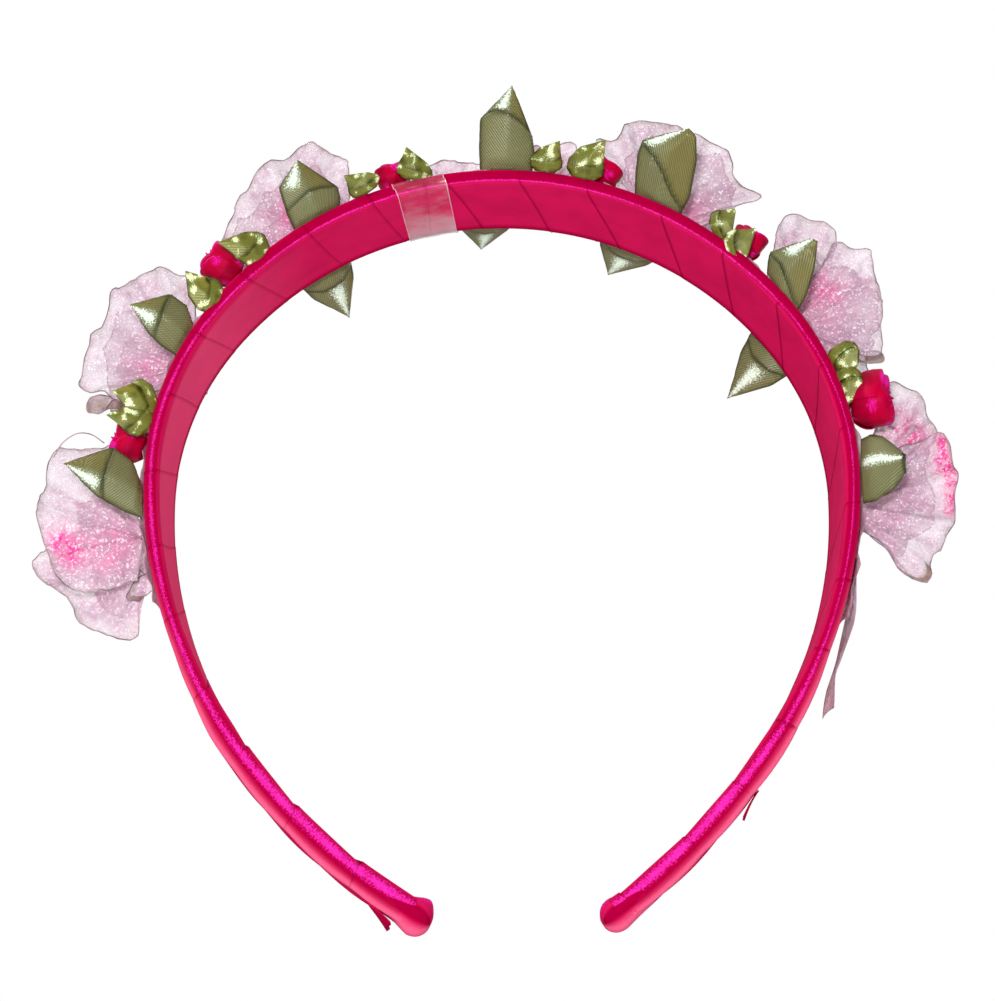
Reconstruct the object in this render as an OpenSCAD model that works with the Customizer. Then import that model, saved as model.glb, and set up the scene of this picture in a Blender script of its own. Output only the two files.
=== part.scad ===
// Flower crown: a satin-wrapped sprung head band with ribbon leaves, rosebuds and organza ruffles.
// Millimetres, in the worn frame: +Z to the top of the crown, +X to one ear, +Y across the band's width.
// The origin is the centre of the round crown, which is the middle of the head.
// Places along the band are given by the angle of its outward normal, from +Z towards +X.

/* [Head band] */
// Inside radius of the round crown, where the band lies on the head
crown_r = 60; // [54:0.5:72]
// Inside radius where the band turns down at each side
shoulder_r = 47.5; // [40:0.5:53]
// Inside radius of the stretch beside each temple
temple_r = 75; // [64:1:90]
// Angle that each temple stretch turns through
temple_sweep = 28; // [22:1:32]
// Inside radius of the left arm, which is bent in a little more than the right
left_arm_r = 85; // [72:1:104]
// Length of the left arm along its inside
left_arm_l = 51; // [40:0.5:56]
// Inside radius of the right arm
right_arm_r = 100; // [84:1:120]
// Length of the right arm along its inside
right_arm_l = 47.5; // [40:0.5:56]
// Width of the band over the crown
band_w = 22; // [17:0.5:26]
// Width of the band at the tips
tip_w = 8; // [6.5:0.5:10]
// Thickness of the plastic former
former_t = 1.6; // [1.3:0.1:2]
// Thickness of the satin ribbon wound over the crown
wrap_t = 0.4; // [0.3:0.05:0.6]
// Thickness of an arm at its tip, where the winding doubles up
tip_t = 4; // [3.4:0.1:4.8]

/* [Flex lines] */
// Room between an arm's rounded end and its seat
flex_gap = 0.3; // [0.2:0.05:0.4]

/* [Tip folds] */
// Diameter of the folded satin end on the left arm
left_fold_d = 6.4; // [5.4:0.1:7.7]
// Diameter of the folded satin end on the right arm
right_fold_d = 5.6; // [5.2:0.1:6.8]
// Length that a cut ribbon end stands off its arm
flap_l = 4; // [3:0.5:5]
// Thickness of a cut ribbon end
flap_t = 0.4; // [0.3:0.05:0.6]

/* [Trim base] */
// Width of the sheer ribbon that carries the flowers
base_w = 15; // [12:0.5:18]
// Thickness of that ribbon
base_t = 0.3; // [0.2:0.05:0.4]
// Height of a dot of set glue
glue_t = 0.3; // [0.2:0.05:0.4]
// Radius of a dot of set glue
glue_r = 2.4; // [1.8:0.1:2.8]
// Width of the clear tape round the crown
tape_w = 8; // [5:0.5:10]
// Thickness of the clear tape
tape_t = 0.15; // [0.1:0.05:0.25]
// Length of the ribbon's loose end past the flex line
tail_free_l = 5; // [3:0.5:6]
// Width of the ribbon's loose end
tail_w = 12; // [8:0.5:15]

/* [Flowers] */
// Depth of each ruffled flower across the band
flower_depth = 12; // [9:0.5:12.5]

/* [Leaves] */
// Width of a folded leaf
leaf_w = 10; // [8:0.5:11]
// Length of a folded leaf
leaf_l = 16; // [12:0.5:20]
// Thickness of a folded leaf at its fold
leaf_t = 2; // [1.4:0.1:2.2]
// Width of a small bud leaf
small_leaf_w = 4.4; // [3.4:0.1:4.8]
// Length of a small bud leaf
small_leaf_l = 8; // [6:0.5:10]
// Thickness of a small bud leaf
small_leaf_t = 1.3; // [1:0.1:1.5]

/* [Rosebuds] */
// Radius of a rolled rosebud
bud_r = 2.7; // [2:0.1:3]
// Height of a rolled rosebud
bud_h = 6.5; // [5:0.5:8]

/* [Hidden] */

band_t = former_t + 2 * wrap_t;
// The round crown ends on both sides where its normal runs 4 out for 3 up
crown_half_angle = atan2(4, 3);
temple_end = 90 + temple_sweep;
base_d = band_t + base_t;
trim_d = base_d + glue_t;
// A flat dot stands this far off the curved ribbon at its middle
glue_sink_gap = 0.02;
// Trim clears the tape and the curve of the band by this much
trim_lift = 0.05;
// The foot of a leaf clears the base ribbon by this much more
foot_clearance = 0.1;
// The former's edges and ends stop this far inside the winding
former_edge_inset = 1.5 * wrap_t;
former_end_inset = 2;

// Angles where the trim stands, and each flower's width along the band and height off it
flower_at = [-99.5, -65.5, -32, -2, 26.5, 55.5, 94];
flower_w = [28, 24, 22, 19, 23, 24, 28];
flower_h = [16.5, 13, 11, 6, 9.5, 13.5, 15];
leaf_at = [-93.5, -61.5, -31.5, 1, 26.5, 51, 90.5];
// How far each leaf leans along the band, towards +X at the top
leaf_turn = [16, 2, 4, 0, 6, 4, -4];
// How far each leaf leans to the near side
leaf_lean = [24, 26, 26, 26, 34, 28, 26];
bud_at = [-83, -48, -16.6, 12.4, 40, 77];
// Rows across the band: leaves stand just inside its edges, buds behind the small near leaves
leaf_edge_inset = 2.2;
near_leaf_y = leaf_edge_inset - band_w / 2;
far_leaf_y = band_w / 2 - leaf_edge_inset;
near_small_leaf_y = 1 - band_w / 2;
near_bud_y = near_small_leaf_y + small_leaf_t + bud_r;
// How far a far leaf droops inwards past the band's edge
far_leaf_droop = 5;
far_small_leaf_droop = 1.6;
// The small leaves of a pair stand this far to each side of their bud
small_leaf_x = 3.1;
small_leaf_splay = 20;
small_leaf_lean = 30;

// Where the satin of the two halves meets, under the tape
wrap_join = -10.5;
// Where the sheer base ribbon starts and ends
base_from = 12 - temple_end;
base_to = temple_end - 10;
// The loose end lies this far back over the base ribbon, then starts its curl
tail_overlap = 6;
tail_curl_from = temple_end - 4;
tail_curl_r = 16;
// Where the cut ribbon ends lie, as shares of the way down each arm
left_end_share = 0.86;
right_end_share = 0.42;

// Round end of each arm, about the flex line in the middle of the band's thickness
knuckle_r = band_t / 2;

plastic = [0.93, 0.92, 0.90];
satin = [0.80, 0.08, 0.37];
sheer = [0.86, 0.72, 0.80];
leaf_olive = [0.50, 0.52, 0.27];
small_olive = [0.58, 0.60, 0.20];
rose = [0.85, 0.05, 0.35];
clear = [0.92, 0.93, 0.94];
set_glue = [0.93, 0.92, 0.84];

$fn = 180;
big = 3 * crown_r;

// Arcs of the band's inside line: centre, radius, first normal, last normal
function unit(a) = [sin(a), cos(a)];
shoulder_c = (crown_r - shoulder_r) * unit(crown_half_angle);
temple_c = shoulder_c + (shoulder_r - temple_r) * unit(90);
function flip(p) = [-p[0], p[1]];
CROWN_ARCS = [
    [flip(temple_c), temple_r, -temple_end, -90],
    [flip(shoulder_c), shoulder_r, -90, -crown_half_angle],
    [[0, 0], crown_r, -crown_half_angle, crown_half_angle],
    [shoulder_c, shoulder_r, crown_half_angle, 90],
    [temple_c, temple_r, 90, temple_end]
];
function arc_of(a) = [for (s = CROWN_ARCS) if (a >= s[2] && a <= s[3]) s][0];
// A point on the band at normal a, d outside its inside line
function band_pt(a, d) = arc_of(a)[0] + (arc_of(a)[1] + d) * unit(a);
knuckle = temple_c + (temple_r + knuckle_r) * unit(temple_end);

// An arm is one arc of inside radius r and length l, drawn for the right side.
// Its outer arc has another centre, so that it grows from band_t to tip_t thick.
function arm_c(r) = temple_c + (temple_r - r) * unit(temple_end);
function arm_sweep(r, l) = l / r * 180 / PI;
function arm_out_r(r, l) = 1 / (1 / (r + band_t) - 2 * (tip_t - band_t) / (l * l));
function arm_out_c(r, l) = arm_c(r) + (r + band_t - arm_out_r(r, l)) * unit(temple_end);
function tip_mid(r, l) = arm_c(r) + (r + tip_t / 2) * unit(temple_end + arm_sweep(r, l));

// Places children on the band: +Z along its normal, +X along the band, +Y across it
module on_band(a, d, y) {
    p = band_pt(a, d);
    translate([p[0], y, p[1]]) rotate([0, a, 0]) children();
}

// Turns a flat outline in X and Z into a plate w wide across the band
module across(w) {
    rotate([90, 0, 0]) linear_extrude(height = w, center = true) children();
}

// Part of a ring about c from radius r0 to r1, between two normals
module ring_part(c, r0, r1, a0, a1) {
    translate(c)
        intersection() {
            difference() {
                circle(r = r1);
                circle(r = r0);
            }
            polygon(concat([[0, 0]], [for (i = [0:4]) big * 2 * unit(a0 + (a1 - a0) * i / 4)]));
        }
}

// Strip that follows the crown from normal a0 to a1, from d0 to d1 off its inside line
module crown_strip(a0, a1, d0, d1) {
    for (s = CROWN_ARCS) {
        lo = max(a0, s[2]);
        hi = min(a1, s[3]);
        if (hi > lo) ring_part(s[0], s[1] + d0, s[1] + d1, lo, hi);
    }
}

// Room for an arm's rounded end, cut out of the crown
module knuckle_seats(r) {
    for (k = [knuckle, flip(knuckle)])
        translate([k[0], 0, k[1]]) rotate([90, 0, 0]) cylinder(r = r, h = 2 * band_w, center = true);
}

// Side outline of an arm: full width at the flex line, narrowing to the tip
module arm_taper(tip_z, inset) {
    rotate([90, 0, 90])
        linear_extrude(height = 2 * big, center = true)
            polygon([
                [band_w / 2 - inset, big],
                [band_w / 2 - inset, knuckle[1]],
                [tip_w / 2 - inset, tip_z],
                [tip_w / 2 - inset, -big],
                [inset - tip_w / 2, -big],
                [inset - tip_w / 2, tip_z],
                [inset - band_w / 2, knuckle[1]],
                [inset - band_w / 2, big]
            ]);
}

module former_arm(r, l) {
    former_from = temple_end + former_end_inset / 2;
    intersection() {
        across(2 * band_w)
            ring_part(arm_c(r), r + wrap_t, r + wrap_t + former_t, former_from, temple_end + arm_sweep(r, l));
        arm_taper(tip_mid(r, l)[1], former_edge_inset);
    }
}

// Outline of an arm: a ring part whose two sides draw apart, with a round end in the seat
module arm_outline(r, l) {
    translate(knuckle) circle(r = knuckle_r);
    intersection() {
        difference() {
            translate(arm_out_c(r, l)) circle(r = arm_out_r(r, l));
            translate(arm_c(r)) circle(r = r);
        }
        translate(arm_c(r))
            polygon(concat(
                [[0, 0]],
                [for (i = [0:4]) big * 2 * unit(temple_end + arm_sweep(r, l) * i / 4)]
            ));
    }
}

module arm_solid(r, l) {
    intersection() {
        across(2 * band_w) arm_outline(r, l);
        arm_taper(tip_mid(r, l)[1], 0);
    }
}

module wrap_arm(r, l) {
    difference() {
        arm_solid(r, l);
        former_arm(r, l);
    }
}

// Rounded roll of satin of diameter d, closed over the end of an arm
module tip_fold(r, l, d) {
    roll_r = d / 2;
    overhang = wrap_t + 0.5;
    roll_l = tip_w + 2 * overhang;
    difference() {
        translate([tip_mid(r, l)[0], 0, tip_mid(r, l)[1]])
            rotate([90, 0, 0])
                rotate_extrude()
                    intersection() {
                        union() {
                            translate([0, -roll_l / 2 + roll_r / 2]) square([roll_r, roll_l - roll_r]);
                            for (s = [-1, 1])
                                translate([roll_r / 2, s * (roll_l / 2 - roll_r / 2)]) circle(r = roll_r / 2);
                            translate([0, -roll_l / 2]) square([roll_r / 2, roll_l]);
                        }
                        translate([0, -roll_l]) square([roll_r, 2 * roll_l]);
                    }
        arm_solid(r, l);
    }
}

// Cut end of the ribbon, standing off the outside of an arm, at a share of the arm's length
module ribbon_end(r, l, share) {
    a = temple_end + share * l / arm_out_r(r, l) * 180 / PI;
    out = arm_out_c(r, l) + arm_out_r(r, l) * unit(a);
    translate([out[0], 0, out[1]])
        rotate([0, a, 0])
            translate([-flap_l / 2, -tip_w / 4, trim_lift])
                cube([flap_l, tip_w / 2, flap_t]);
}

module former_crown() {
    former_end = temple_end - former_end_inset;
    color(plastic)
        across(band_w - 2 * former_edge_inset)
            crown_strip(-former_end, former_end, wrap_t, wrap_t + former_t);
}

module wrap_crown(a0, a1) {
    color(satin)
        difference() {
            across(band_w) crown_strip(a0, a1, 0, band_t);
            former_crown();
            knuckle_seats(knuckle_r + flex_gap);
        }
}

module base_ribbon() {
    color(sheer) across(base_w) crown_strip(base_from, base_to, band_t, base_d);
}

// Loose end of the base ribbon: lies on the band, then curls away from the arm
module ribbon_tail() {
    lie_r = temple_r + base_d;
    curl_l = tail_free_l + temple_r * (temple_end - tail_curl_from) * PI / 180;
    curl_c = temple_c + (lie_r + tail_curl_r) * unit(tail_curl_from);
    curl_end = tail_curl_from + 180;
    curl_from = curl_end - curl_l / tail_curl_r * 180 / PI;
    color(sheer)
        across(tail_w) {
            ring_part(temple_c, lie_r, lie_r + base_t, base_to - tail_overlap, tail_curl_from);
            ring_part(curl_c, tail_curl_r - base_t, tail_curl_r, curl_from, curl_end);
        }
}

module tape_loop() {
    half = tape_w / 2 / (crown_r + band_t) * 180 / PI;
    from = wrap_join - half;
    to = wrap_join + half;
    color(clear)
        difference() {
            across(band_w + 2 * tape_t)
                crown_strip(from, to, -tape_t, base_d + tape_t);
            across(band_w) crown_strip(from - half, to + half, 0, band_t);
            across(base_w) crown_strip(from - half, to + half, 0, base_d);
        }
}

module glue_dots() {
    color(set_glue) {
        for (a = flower_at)
            on_band(a, base_d + glue_sink_gap, 0) cylinder(r = glue_r, h = glue_t, $fn = 48);
    }
}

// Ruffled flower as one closed shape: gathered foot, widest part and a dished, waved top
module flower(i) {
    n = 20;
    w = flower_w[i] / 2;
    h = flower_h[i];
    d = flower_depth / 2;
    rings = [[0.52, 0], [1, 0.5], [0.82, 0.88]];
    function wave(j, k) = 1 + (k == 0 ? 0 : 0.07 * cos(360 * j * 5 / n + 40 * i) - 0.07);
    pts = concat(
        [[0, 0, 0]],
        [for (k = [0:2]) for (j = [0:n - 1])
            [
                w * rings[k][0] * wave(j, k) * cos(360 * j / n),
                d * rings[k][0] * wave(j, k) * sin(360 * j / n),
                h * (rings[k][1] + (k == 2 ? 0.12 * cos(360 * j * 4 / n + 70 * i) : 0))
            ]],
        [[0, 0, 0.72 * h]]
    );
    last = 3 * n + 1;
    faces = concat(
        [for (j = [0:n - 1]) [0, 1 + j, 1 + (j + 1) % n]],
        [for (k = [0:1]) for (j = [0:n - 1])
            [1 + k * n + j, 1 + (k + 1) * n + j, 1 + k * n + (j + 1) % n]],
        [for (k = [0:1]) for (j = [0:n - 1])
            [1 + k * n + (j + 1) % n, 1 + (k + 1) * n + j, 1 + (k + 1) * n + (j + 1) % n]],
        [for (j = [0:n - 1]) [last, 1 + 2 * n + (j + 1) % n, 1 + 2 * n + j]]
    );
    color(sheer)
        on_band(flower_at[i], trim_d + trim_lift, 0.4)
            polyhedron(points = pts, faces = faces, convexity = 4);
}

// A leaf's foot, as shares of its full width and thickness
foot_share = 0.66;
foot_t_share = 0.8;

// Folded leaf: pinched foot, widest at a third, two facets meeting at a centre fold, pointed tip
module leaf_shape(l, w, t, droop) {
    belly = 0.36;
    st = [[0, foot_share, foot_t_share], [belly, 1, 1], [0.7, 0.72, 0.7]];
    function drop(h) = droop * pow(max(0, h - belly) / (1 - belly), 2);
    pts = concat(
        [for (s = st)
            for (q = [[-1, 0], [0, -1], [1, 0], [0, 1]])
                [
                    q[0] * w * s[1] / 2,
                    q[1] * t * s[2] / 2 + drop(s[0]),
                    l * s[0]
                ]],
        [[0, droop, l]]
    );
    faces = concat(
        [[0, 1, 2, 3]],
        [for (k = [0:1]) for (j = [0:3]) [4 * k + j, 4 * k + 4 + j, 4 * k + (j + 1) % 4]],
        [for (k = [0:1]) for (j = [0:3]) [4 * k + (j + 1) % 4, 4 * k + 4 + j, 4 * k + 4 + (j + 1) % 4]],
        [for (j = [0:3]) [8 + j, 12, 8 + (j + 1) % 4]]
    );
    polyhedron(points = pts, faces = faces, convexity = 2);
}

// Height that keeps the foot of a leaning leaf off the base ribbon
function foot_lift(w, turn, t, lean) =
    w * foot_share / 2 * abs(sin(turn)) + t * foot_t_share / 2 * abs(sin(lean)) + foot_clearance;

module near_leaf(i) {
    lift = foot_lift(leaf_w, leaf_turn[i], leaf_t, leaf_lean[i]);
    color(leaf_olive)
        on_band(leaf_at[i], trim_d + lift, near_leaf_y)
            rotate([leaf_lean[i], leaf_turn[i], 0])
                leaf_shape(leaf_l, leaf_w, leaf_t, 0);
}

module far_leaf(i) {
    color(leaf_olive)
        on_band(leaf_at[i], trim_d + leaf_t / 2 + foot_clearance, far_leaf_y)
            rotate([-90, 0, 0])
                leaf_shape(leaf_l, leaf_w, leaf_t, far_leaf_droop);
}

// Rolled bud: a barrel that is narrower at its foot and has a turned-in mouth
module rosebud(i) {
    color(rose)
        on_band(bud_at[i], trim_d + trim_lift, near_bud_y)
            rotate_extrude($fn = 48)
                difference() {
                    intersection() {
                        translate([bud_r - bud_h, bud_h / 2]) circle(r = bud_h, $fn = 96);
                        square([bud_r, bud_h]);
                    }
                    translate([0, bud_h]) circle(r = bud_r * 0.45, $fn = 48);
                }
}

// Two small leaves in front of a bud and two behind, lying out past the edges of the band
module bud_leaves(i) {
    lift = foot_lift(small_leaf_w, small_leaf_splay, small_leaf_t, small_leaf_lean);
    color(small_olive)
        for (s = [-1, 1]) {
            on_band(bud_at[i], trim_d + lift, near_small_leaf_y)
                translate([s * small_leaf_x, 0, small_leaf_x * small_leaf_x / 2 / shoulder_r])
                    rotate([small_leaf_lean, s * small_leaf_splay, 0])
                        leaf_shape(small_leaf_l, small_leaf_w, small_leaf_t, 0);
            on_band(bud_at[i], trim_d + small_leaf_t / 2 + foot_clearance, far_leaf_y)
                translate([s * small_leaf_x, 0, 0])
                    rotate([-90, 0, 0])
                        leaf_shape(small_leaf_l, small_leaf_w, small_leaf_t, far_small_leaf_droop);
        }
}

module left_arm_piece(c) {
    color(c) mirror([1, 0, 0]) children();
}
module right_arm_piece(c) {
    color(c) children();
}

former_crown();
left_arm_piece(plastic) former_arm(left_arm_r, left_arm_l);  // former_left_arm
right_arm_piece(plastic) former_arm(right_arm_r, right_arm_l);  // former_right_arm
wrap_crown(-temple_end, wrap_join);  // wrap_crown_left
wrap_crown(wrap_join, temple_end);  // wrap_crown_right
left_arm_piece(satin) wrap_arm(left_arm_r, left_arm_l);  // wrap_left_arm
right_arm_piece(satin) wrap_arm(right_arm_r, right_arm_l);  // wrap_right_arm
left_arm_piece(satin) tip_fold(left_arm_r, left_arm_l, left_fold_d);  // tip_fold_left
right_arm_piece(satin) tip_fold(right_arm_r, right_arm_l, right_fold_d);  // tip_fold_right
left_arm_piece(satin) ribbon_end(left_arm_r, left_arm_l, left_end_share);  // ribbon_end_left
right_arm_piece(satin) ribbon_end(right_arm_r, right_arm_l, right_end_share);  // ribbon_end_right
base_ribbon();
ribbon_tail();
tape_loop();
glue_dots();
flower(0);  // flower_1
flower(1);  // flower_2
flower(2);  // flower_3
flower(3);  // flower_4
flower(4);  // flower_5
flower(5);  // flower_6
flower(6);  // flower_7
near_leaf(0);  // leaf_near_1
near_leaf(1);  // leaf_near_2
near_leaf(2);  // leaf_near_3
near_leaf(3);  // leaf_near_4
near_leaf(4);  // leaf_near_5
near_leaf(5);  // leaf_near_6
near_leaf(6);  // leaf_near_7
far_leaf(0);  // leaf_far_1
far_leaf(1);  // leaf_far_2
far_leaf(2);  // leaf_far_3
far_leaf(3);  // leaf_far_4
far_leaf(4);  // leaf_far_5
far_leaf(5);  // leaf_far_6
far_leaf(6);  // leaf_far_7
rosebud(0);  // rosebud_1
rosebud(1);  // rosebud_2
rosebud(2);  // rosebud_3
rosebud(3);  // rosebud_4
rosebud(4);  // rosebud_5
rosebud(5);  // rosebud_6
bud_leaves(0);  // bud_leaves_1
bud_leaves(1);  // bud_leaves_2
bud_leaves(2);  // bud_leaves_3
bud_leaves(3);  // bud_leaves_4
bud_leaves(4);  // bud_leaves_5
bud_leaves(5);  // bud_leaves_6
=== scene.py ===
from math import atan2, cos, pi, radians, sin

import bpy
import numpy as np
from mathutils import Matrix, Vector, noise


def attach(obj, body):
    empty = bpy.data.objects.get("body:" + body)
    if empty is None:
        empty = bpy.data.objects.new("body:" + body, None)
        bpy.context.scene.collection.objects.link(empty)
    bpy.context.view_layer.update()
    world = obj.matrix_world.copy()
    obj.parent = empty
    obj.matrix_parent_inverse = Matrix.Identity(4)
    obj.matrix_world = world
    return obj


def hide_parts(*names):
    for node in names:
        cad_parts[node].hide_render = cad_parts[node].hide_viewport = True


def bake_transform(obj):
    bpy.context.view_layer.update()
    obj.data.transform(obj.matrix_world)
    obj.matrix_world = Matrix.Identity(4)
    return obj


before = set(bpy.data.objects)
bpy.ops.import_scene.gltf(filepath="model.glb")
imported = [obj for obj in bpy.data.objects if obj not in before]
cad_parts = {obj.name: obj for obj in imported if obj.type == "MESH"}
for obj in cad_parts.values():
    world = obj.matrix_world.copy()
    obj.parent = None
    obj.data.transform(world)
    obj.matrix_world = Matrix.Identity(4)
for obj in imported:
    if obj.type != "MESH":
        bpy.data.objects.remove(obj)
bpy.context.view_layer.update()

# ---------------------------------------------------------------- camera, light and floor
# The crown stands upright as it is worn, and is looked at from a little below its tips.
# A broad soft light beside the lens fills the front, and a pale room lights the rest.
scene = bpy.context.scene
scene.view_settings.view_transform = "Standard"

camera_place = (-0.00075, -0.37415, -0.10069)
camera_pitch = radians(15.85)
camera = bpy.data.objects.new("camera", bpy.data.cameras.new("camera"))
camera.data.lens = 81.6
camera.data.sensor_width = 36
camera.data.clip_start = 0.01
camera.location = camera_place
camera.rotation_euler = (pi / 2 + camera_pitch, 0, 0)
scene.collection.objects.link(camera)
scene.camera = camera


def area_light(name, place, target, size, watts):
    light = bpy.data.objects.new(name, bpy.data.lights.new(name, "AREA"))
    light.data.shape = "DISK"
    light.data.size = size
    light.data.energy = watts
    light.location = place
    light.rotation_euler = (Vector(target) - Vector(place)).to_track_quat("-Z", "Y").to_euler()
    scene.collection.objects.link(light)


area_light("front_light", (-0.03, -0.42, -0.03), (0, 0, 0), 0.06, 1.3)
area_light("top_light", (-0.25, -0.1, 0.5), (0, 0, 0.03), 0.30, 1.6)
area_light("back_light", (0.3, 0.5, 0.25), (0, 0, 0.02), 0.35, 1.2)

world = bpy.data.worlds.new("pale_room")
world.use_nodes = True
room = world.node_tree.nodes["Background"]
room.inputs["Color"].default_value = (1, 1, 1, 1)
scene.world = world


def principled(name, **values):
    """A new material, its node tree and its Principled BSDF, with values set on its sockets."""
    material = bpy.data.materials.new(name)
    material.use_nodes = True
    shader = material.node_tree.nodes["Principled BSDF"]
    for socket, value in values.items():
        shader.inputs[socket.replace("_", " ")].default_value = value
    return material, material.node_tree, shader


def node(tree, kind, inputs=None, **settings):
    """Adds a node. inputs gives sockets by name or number: an output is linked, and a value is set."""
    made = tree.nodes.new(kind)
    for key, value in settings.items():
        setattr(made, key, value)
    for key, value in (inputs or {}).items():
        if isinstance(value, bpy.types.NodeSocket):
            tree.links.new(value, made.inputs[key])
        else:
            made.inputs[key].default_value = value
    return made


def maths(tree, operation, *values, clamp=False):
    return node(
        tree, "ShaderNodeMath", dict(enumerate(values)), operation=operation, use_clamp=clamp
    ).outputs[0]


def mix_colour(tree, factor, a, b):
    mixed = node(tree, "ShaderNodeMix", {0: factor, 6: a, 7: b}, data_type="RGBA")
    return mixed.outputs[2]


def ramp(tree, value, low, high, to_low=0.0, to_high=1.0):
    """value from low to high, smoothly, as a number from to_low to to_high"""
    made = node(tree, "ShaderNodeMapRange", {0: value, 1: low, 2: high, 3: to_low, 4: to_high})
    made.interpolation_type = "SMOOTHSTEP"
    return made.outputs[0]


# The room is seen as plain white and lights the crown less than that
room_light = 0.4
room_sight = world.node_tree.nodes.new("ShaderNodeLightPath").outputs["Is Camera Ray"]
world.node_tree.links.new(
    maths(world.node_tree, "MULTIPLY_ADD", room_sight, 1 - room_light, room_light), room.inputs["Strength"]
)

floor_z = -0.13
floor_half = 3
floor_material, floor_tree, floor_shader = principled("pale_floor", Roughness=0.8)
floor_grain = node(floor_tree, "ShaderNodeTexNoise", {"Scale": 9.0, "Detail": 4.0})
floor_tree.links.new(
    mix_colour(floor_tree, floor_grain.outputs[0], (0.86, 0.86, 0.86, 1), (0.9, 0.9, 0.9, 1)),
    floor_shader.inputs["Base Color"],
)
floor_mesh = bpy.data.meshes.new("floor")
floor_mesh.from_pydata(
    [(x * floor_half, y * floor_half, floor_z) for x, y in ((-1, -1), (1, -1), (1, 1), (-1, 1))],
    [],
    [(0, 1, 2, 3)],
)
floor_mesh.materials.append(floor_material)
floor = bpy.data.objects.new("floor", floor_mesh)
scene.collection.objects.link(floor)

# ---------------------------------------------------------------- plastic former
# A strip of white injection-moulded plastic, bent to a hoop, holds the crown's shape.
# It is hidden in the satin, and its two arms flex about the lines beside the temples.
plastic, plastic_tree, plastic_shader = principled("former_plastic", Roughness=0.42, Specular_IOR_Level=0.5)
plastic_place = node(plastic_tree, "ShaderNodeTexCoord").outputs["Object"]
plastic_flow = node(
    plastic_tree, "ShaderNodeTexNoise", {"Vector": plastic_place, "Scale": 260.0, "Detail": 5.0}
)
plastic_tree.links.new(
    mix_colour(plastic_tree, plastic_flow.outputs[0], (0.80, 0.79, 0.75, 1), (0.88, 0.87, 0.84, 1)),
    plastic_shader.inputs["Base Color"],
)
plastic_tree.links.new(
    node(
        plastic_tree, "ShaderNodeBump", {"Height": plastic_flow.outputs[0], "Distance": 0.00003}
    ).outputs[0],
    plastic_shader.inputs["Normal"],
)
plastic_tree.links.new(
    ramp(plastic_tree, plastic_flow.outputs[0], 0.3, 0.7, 0.36, 0.5), plastic_shader.inputs["Roughness"]
)


def repaint(name, material):
    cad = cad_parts[name]
    cad.data.materials.clear()
    cad.data.materials.append(material)


for name in ("former_crown", "former_left_arm", "former_right_arm"):
    repaint(name, plastic)

# ---------------------------------------------------------------- satin winding
# Hot pink satin ribbon is wound round the former in overlapping turns, from the tape
# down to each tip. Each turn lies over the one before it, so its edge shows as a seam.
# Lengths are in millimetres along the inside of the band from its top, and MM makes
# them metres. side is 1 for the right of the head band and -1 for its left.
MM = 0.001
crown_r = 60.0
shoulder_r = 47.5
temple_r = 75.0
arm_r = {-1: 85.0, 1: 100.0}
arm_l = {-1: 51.0, 1: 47.5}
band_half = 11.0
tip_half = 4.0
band_t = 2.4
arm_t = 3.3
tip_t = 4.0
crown_end = atan2(4, 3)
temple_end = radians(118)
corner_r = 1.15


def unit(angle):
    return np.stack([np.sin(angle), np.cos(angle)], -1)


shoulder_c = (crown_r - shoulder_r) * unit(crown_end)
temple_c = shoulder_c + (shoulder_r - temple_r) * unit(pi / 2)
flex_s = crown_r * crown_end + shoulder_r * (pi / 2 - crown_end) + temple_r * (temple_end - pi / 2)


def band_arcs(side):
    """Arcs of the inside line: centre, radius, and the first and last angle of its normal."""
    arm_c = temple_c + (temple_r - arm_r[side]) * unit(temple_end)
    return [
        (np.zeros(2), crown_r, 0.0, crown_end),
        (shoulder_c, shoulder_r, crown_end, pi / 2),
        (temple_c, temple_r, pi / 2, temple_end),
        (arm_c, arm_r[side], temple_end, temple_end + arm_l[side] / arm_r[side]),
    ]


def tip_s(side):
    return flex_s + arm_l[side]


def along(angle):
    """Distance along the inside line to where its normal has turned through this many degrees."""
    turned, distance = abs(radians(angle)), 0.0
    for _, radius, first, last in band_arcs(1):
        distance += radius * (min(max(turned, first), last) - first)
    return distance


def line_at(s, side):
    """Points on the inside line and its outward normals, as X and Z, at distances s."""
    s = np.asarray(s, float)
    start = 0.0
    angle = s / crown_r
    point = crown_r * unit(angle)
    for centre, radius, first, last in band_arcs(side):
        past = s >= start
        angle = np.where(past, first + (s - start) / radius, angle)
        point = np.where(past[..., None], centre + radius * unit(angle), point)
        start += radius * (last - first)
    mirror = np.array([side, 1.0])
    return point * mirror, unit(angle) * mirror


def half_width(s, side):
    return np.interp(s, [0, flex_s, tip_s(side)], [band_half, band_half, tip_half])


def thickness(s, side):
    return np.interp(
        s, [0, flex_s - 6, flex_s + 8, flex_s + 22, tip_s(side)], [band_t, band_t, arm_t, arm_t, tip_t]
    )


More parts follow.
